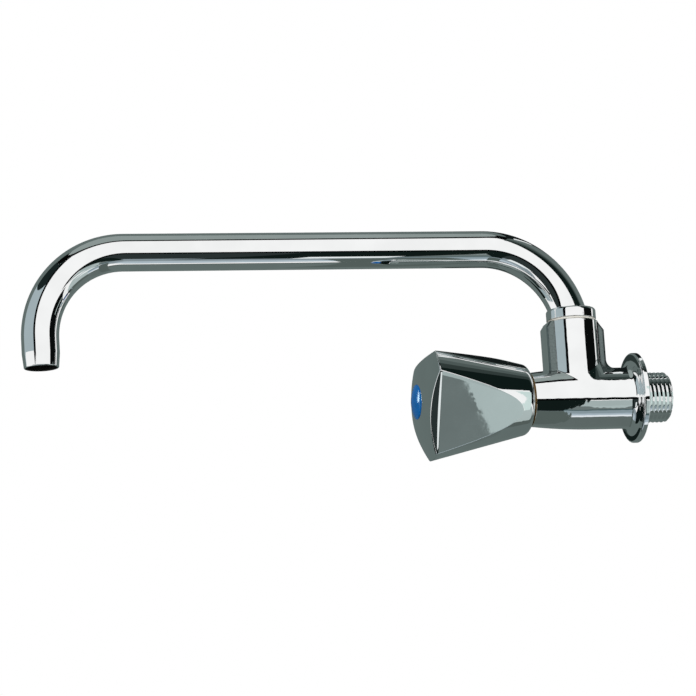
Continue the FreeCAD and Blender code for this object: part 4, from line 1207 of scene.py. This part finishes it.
NEAR_CARDS = (                 # name, axis, level on it, corners, colour
    ("level_black_edge", X, BESIDE, oblong((-1.6, -0.135), (0.25, -0.06)), "#080a0a"),
    ("low_dark_flag", X, BESIDE, oblong((-1.6, -0.58), (-0.02, -0.135)), "#2c3434"),
    ("low_black_flag", X, BESIDE, oblong((-0.02, -0.75), (0.112, -0.135)), "#111b19"),
    ("low_pale_panel", X, BESIDE, oblong((0.112, -0.395), (0.3, -0.155)), "#aab8b7"),
    ("low_pale_corner", X, BESIDE,
     ((0.136, -0.395), (0.4, -0.395), (0.4, -0.62), (0.267, -0.62)), "#b2c1c0"),
    ("low_mid_panel", X, BESIDE,
     ((0.112, -0.395), (0.136, -0.395), (0.267, -0.62), (0.112, -0.62)), "#6e7978"),
    ("low_dark_edge", X, BESIDE, oblong((0.112, -0.75), (0.4, -0.62)), "#4f6365"),
    ("wall_pale_panel", X, CLOSE,
     ((0.024, 0.03), (0.065, 0.03), (0.065, -0.1), (0.04, -0.1)), "#d3e5e2"),
    ("wall_side_black", X, WALL_SIDE, oblong((0.142, -0.02), (0.6, 0.085)), "#0b0d0d"),
    ("above_black", Z, ABOVE, ((0.14, 0.07), (0.7, 0.5), (0.7, 0.9), (0.14, 0.9)), "#101b19"),
    ("above_dark", Z, ABOVE, oblong((0.075, 0.06), (0.14, 0.9)), "#343e3c"),
    ("above_grey", Z, ABOVE, ((0.025, 0.063), (0.075, 0.06), (0.075, 0.9), (0.0, 0.9)), "#525d5b"),
    ("above_pale_edge", Z, ABOVE,
     ((0.025, 0.063), (0.0, 0.9), (-0.3, 0.9), (-0.155, 0.143)), "#66716f"),
    ("above_window", Z, WINDOW,
     ((-0.013, 0.08), (-0.063, 0.08), (-0.205, 0.143), (-0.155, 0.143)), "#f4f8f8"),
    ("above_black_edge", Z, ABOVE,
     ((-0.6, 0.03), (0.025, 0.063), (-0.155, 0.143), (-0.6, 0.3)), "#141a1a"),
    ("below_front_flag", Z, BELOW, oblong((-0.35, -0.04), (0.2, 0.03)), "#57625f"),
    ("below_blue_panel", Z, BELOW, oblong((0.13, 0.03), (0.21, 0.14)), "#8d9ea5"),
    ("below_mist_panel", Z, BELOW, oblong((0.085, 0.03), (0.13, 0.14)), "#aebdc7"),
    ("below_bright_panel", Z, BELOW, oblong((0.045, 0.03), (0.085, 0.14)), "#eaf1f6"),
    ("below_grey_panel", Z, BELOW, oblong((-0.4, 0.03), (0.045, 0.14)), "#626d6b"),
    ("bevel_glint", X, CLOSE, oblong((-0.105, -0.1), (-0.06, -0.05)), "#f0f6f6"),
    ("flange_black", X, BEHIND, oblong((-0.05, -0.006), (-0.0285, 0.02)), "#131d1b"),
    ("flange_dark", X, BEHIND, oblong((-0.0285, -0.006), (0.0, 0.02)), "#333e3c"),
    ("flange_shade", X, BEHIND, oblong((-0.05, 0.03), (-0.0285, 0.05)), "#2b3533"),
    ("flange_soft_shade", X, BEHIND, oblong((-0.0285, 0.03), (-0.0255, 0.05)), "#4a5553"),
    ("front_low_flag", Y, FRONT, oblong((-0.16, -0.25), (0.08, -0.05)), "#0d1514"),
)

LAMPS = (                      # name, direction, distance, width, height, watts, what it shines on
    ("key_softbox", (0.8, -0.1, 0.55), 1.5, 0.8, 0.8, 12.0, None),
    ("button_window", (-0.499, -0.83, 0.25), 1.2, 0.2, 0.45, 4.0, "blue_button"),
)

FLOOR_HEIGHT = -0.62
FLOOR_HALF = 4.0
ROOM_LIGHT = 0.6               # the world's strength as light on the object


def add_floor():
    """A pale floor well under the object, out of its reflections."""
    corners = oblong((-FLOOR_HALF, FLOOR_HALF), (FLOOR_HALF, -FLOOR_HALF))
    floor = add_stage_mesh("floor", flat_patch(Z, FLOOR_HEIGHT, corners), floor_paint())
    floor.visible_glossy = False


def add_world():
    """A white room: strength 1 where the camera and reflections see it, less as light."""
    world = bpy.data.worlds.new("white_room")
    bpy.context.scene.world = world
    world.use_nodes = True
    tree = world.node_tree
    tree.nodes.clear()
    ray = add_node(tree, "ShaderNodeLightPath")
    seen = add_node(tree, "ShaderNodeMath", {"operation": "MAXIMUM"},
                    {0: (ray, "Is Camera Ray"), 1: (ray, "Is Glossy Ray")})
    seen = add_node(tree, "ShaderNodeMath", {"operation": "MAXIMUM"},
                    {0: (seen, "Value"), 1: (ray, "Is Transmission Ray")})
    strength = add_node(tree, "ShaderNodeMapRange", {"To Min": ROOM_LIGHT, "To Max": 1.0},
                        {"Value": (seen, "Value")})
    light = add_node(tree, "ShaderNodeBackground", {"Color": srgb("#ffffff")},
                     {"Strength": (strength, "Result")})
    add_node(tree, "ShaderNodeOutputWorld", links={"Surface": (light, "Background")})


def add_lamp(name, direction, distance, width, height, power, shines_on):
    """A softbox. It isn't seen in reflections, save on the piece that it shines on."""
    data = bpy.data.lights.new(name, "AREA")
    data.shape = "RECTANGLE"
    data.size = width
    data.size_y = height
    data.energy = power
    lamp = bpy.data.objects.new(name, data)
    lamp.visible_glossy = shines_on is not None
    bpy.context.scene.collection.objects.link(lamp)
    if shines_on:
        receivers = bpy.data.collections.new(name + "_receivers")
        receivers.objects.link(bpy.data.objects[shines_on])
        lamp.light_linking.receiver_collection = receivers
    away = Vector(direction).normalized()
    lamp.matrix_world = (Matrix.Translation(Vector(OBJECT_MIDDLE) + away * distance)
                         @ away.to_track_quat("Z", "Y").to_matrix().to_4x4())


class FAUCET_OT_stage(bpy.types.Operator):
    """Add the floor, the white room, its panels and lamps, and the camera"""
    bl_idname = "faucet.stage"
    bl_label = "Stage"

    def execute(self, context):
        add_floor()
        add_world()
        for name, azimuths, elevations, hexcode in FAR_CARDS:
            add_card(name, sphere_patch(azimuths, elevations), hexcode)
        for name, axis, level, corners, hexcode in NEAR_CARDS:
            add_card(name, flat_patch(axis, level, corners), hexcode)
        for lamp in LAMPS:
            add_lamp(*lamp)
        add_camera()
        context.scene.view_settings.view_transform = "Standard"
        return {"FINISHED"}


class FAUCET_PT_panel(bpy.types.Panel):
    """The faucet's pieces in the 3D view's sidebar"""
    bl_idname = "FAUCET_PT_panel"
    bl_label = "Wall Faucet"
    bl_space_type = "VIEW_3D"
    bl_region_type = "UI"
    bl_category = "Wall Faucet"

    def draw(self, context):
        for operator in OPERATORS:
            self.layout.operator(operator.bl_idname)


OPERATORS = (FAUCET_OT_spout, FAUCET_OT_body, FAUCET_OT_knob, FAUCET_OT_inner_parts,
             FAUCET_OT_stage)
CLASSES = (FaucetSpoutSizes, FaucetBodySizes, FaucetKnobSizes, FaucetFinishes, FaucetSettings,
           *OPERATORS, FAUCET_PT_panel)


def register():
    for kind in CLASSES:
        bpy.utils.register_class(kind)
    bpy.types.Scene.faucet = PointerProperty(type=FaucetSettings)


def unregister():
    del bpy.types.Scene.faucet
    for kind in reversed(CLASSES):
        bpy.utils.unregister_class(kind)


def main():
    register()
    bpy.ops.faucet.spout()
    bpy.ops.faucet.body()
    bpy.ops.faucet.knob()
    bpy.ops.faucet.inner_parts()
    bpy.ops.faucet.stage()


if __name__ == "__main__":
    main()
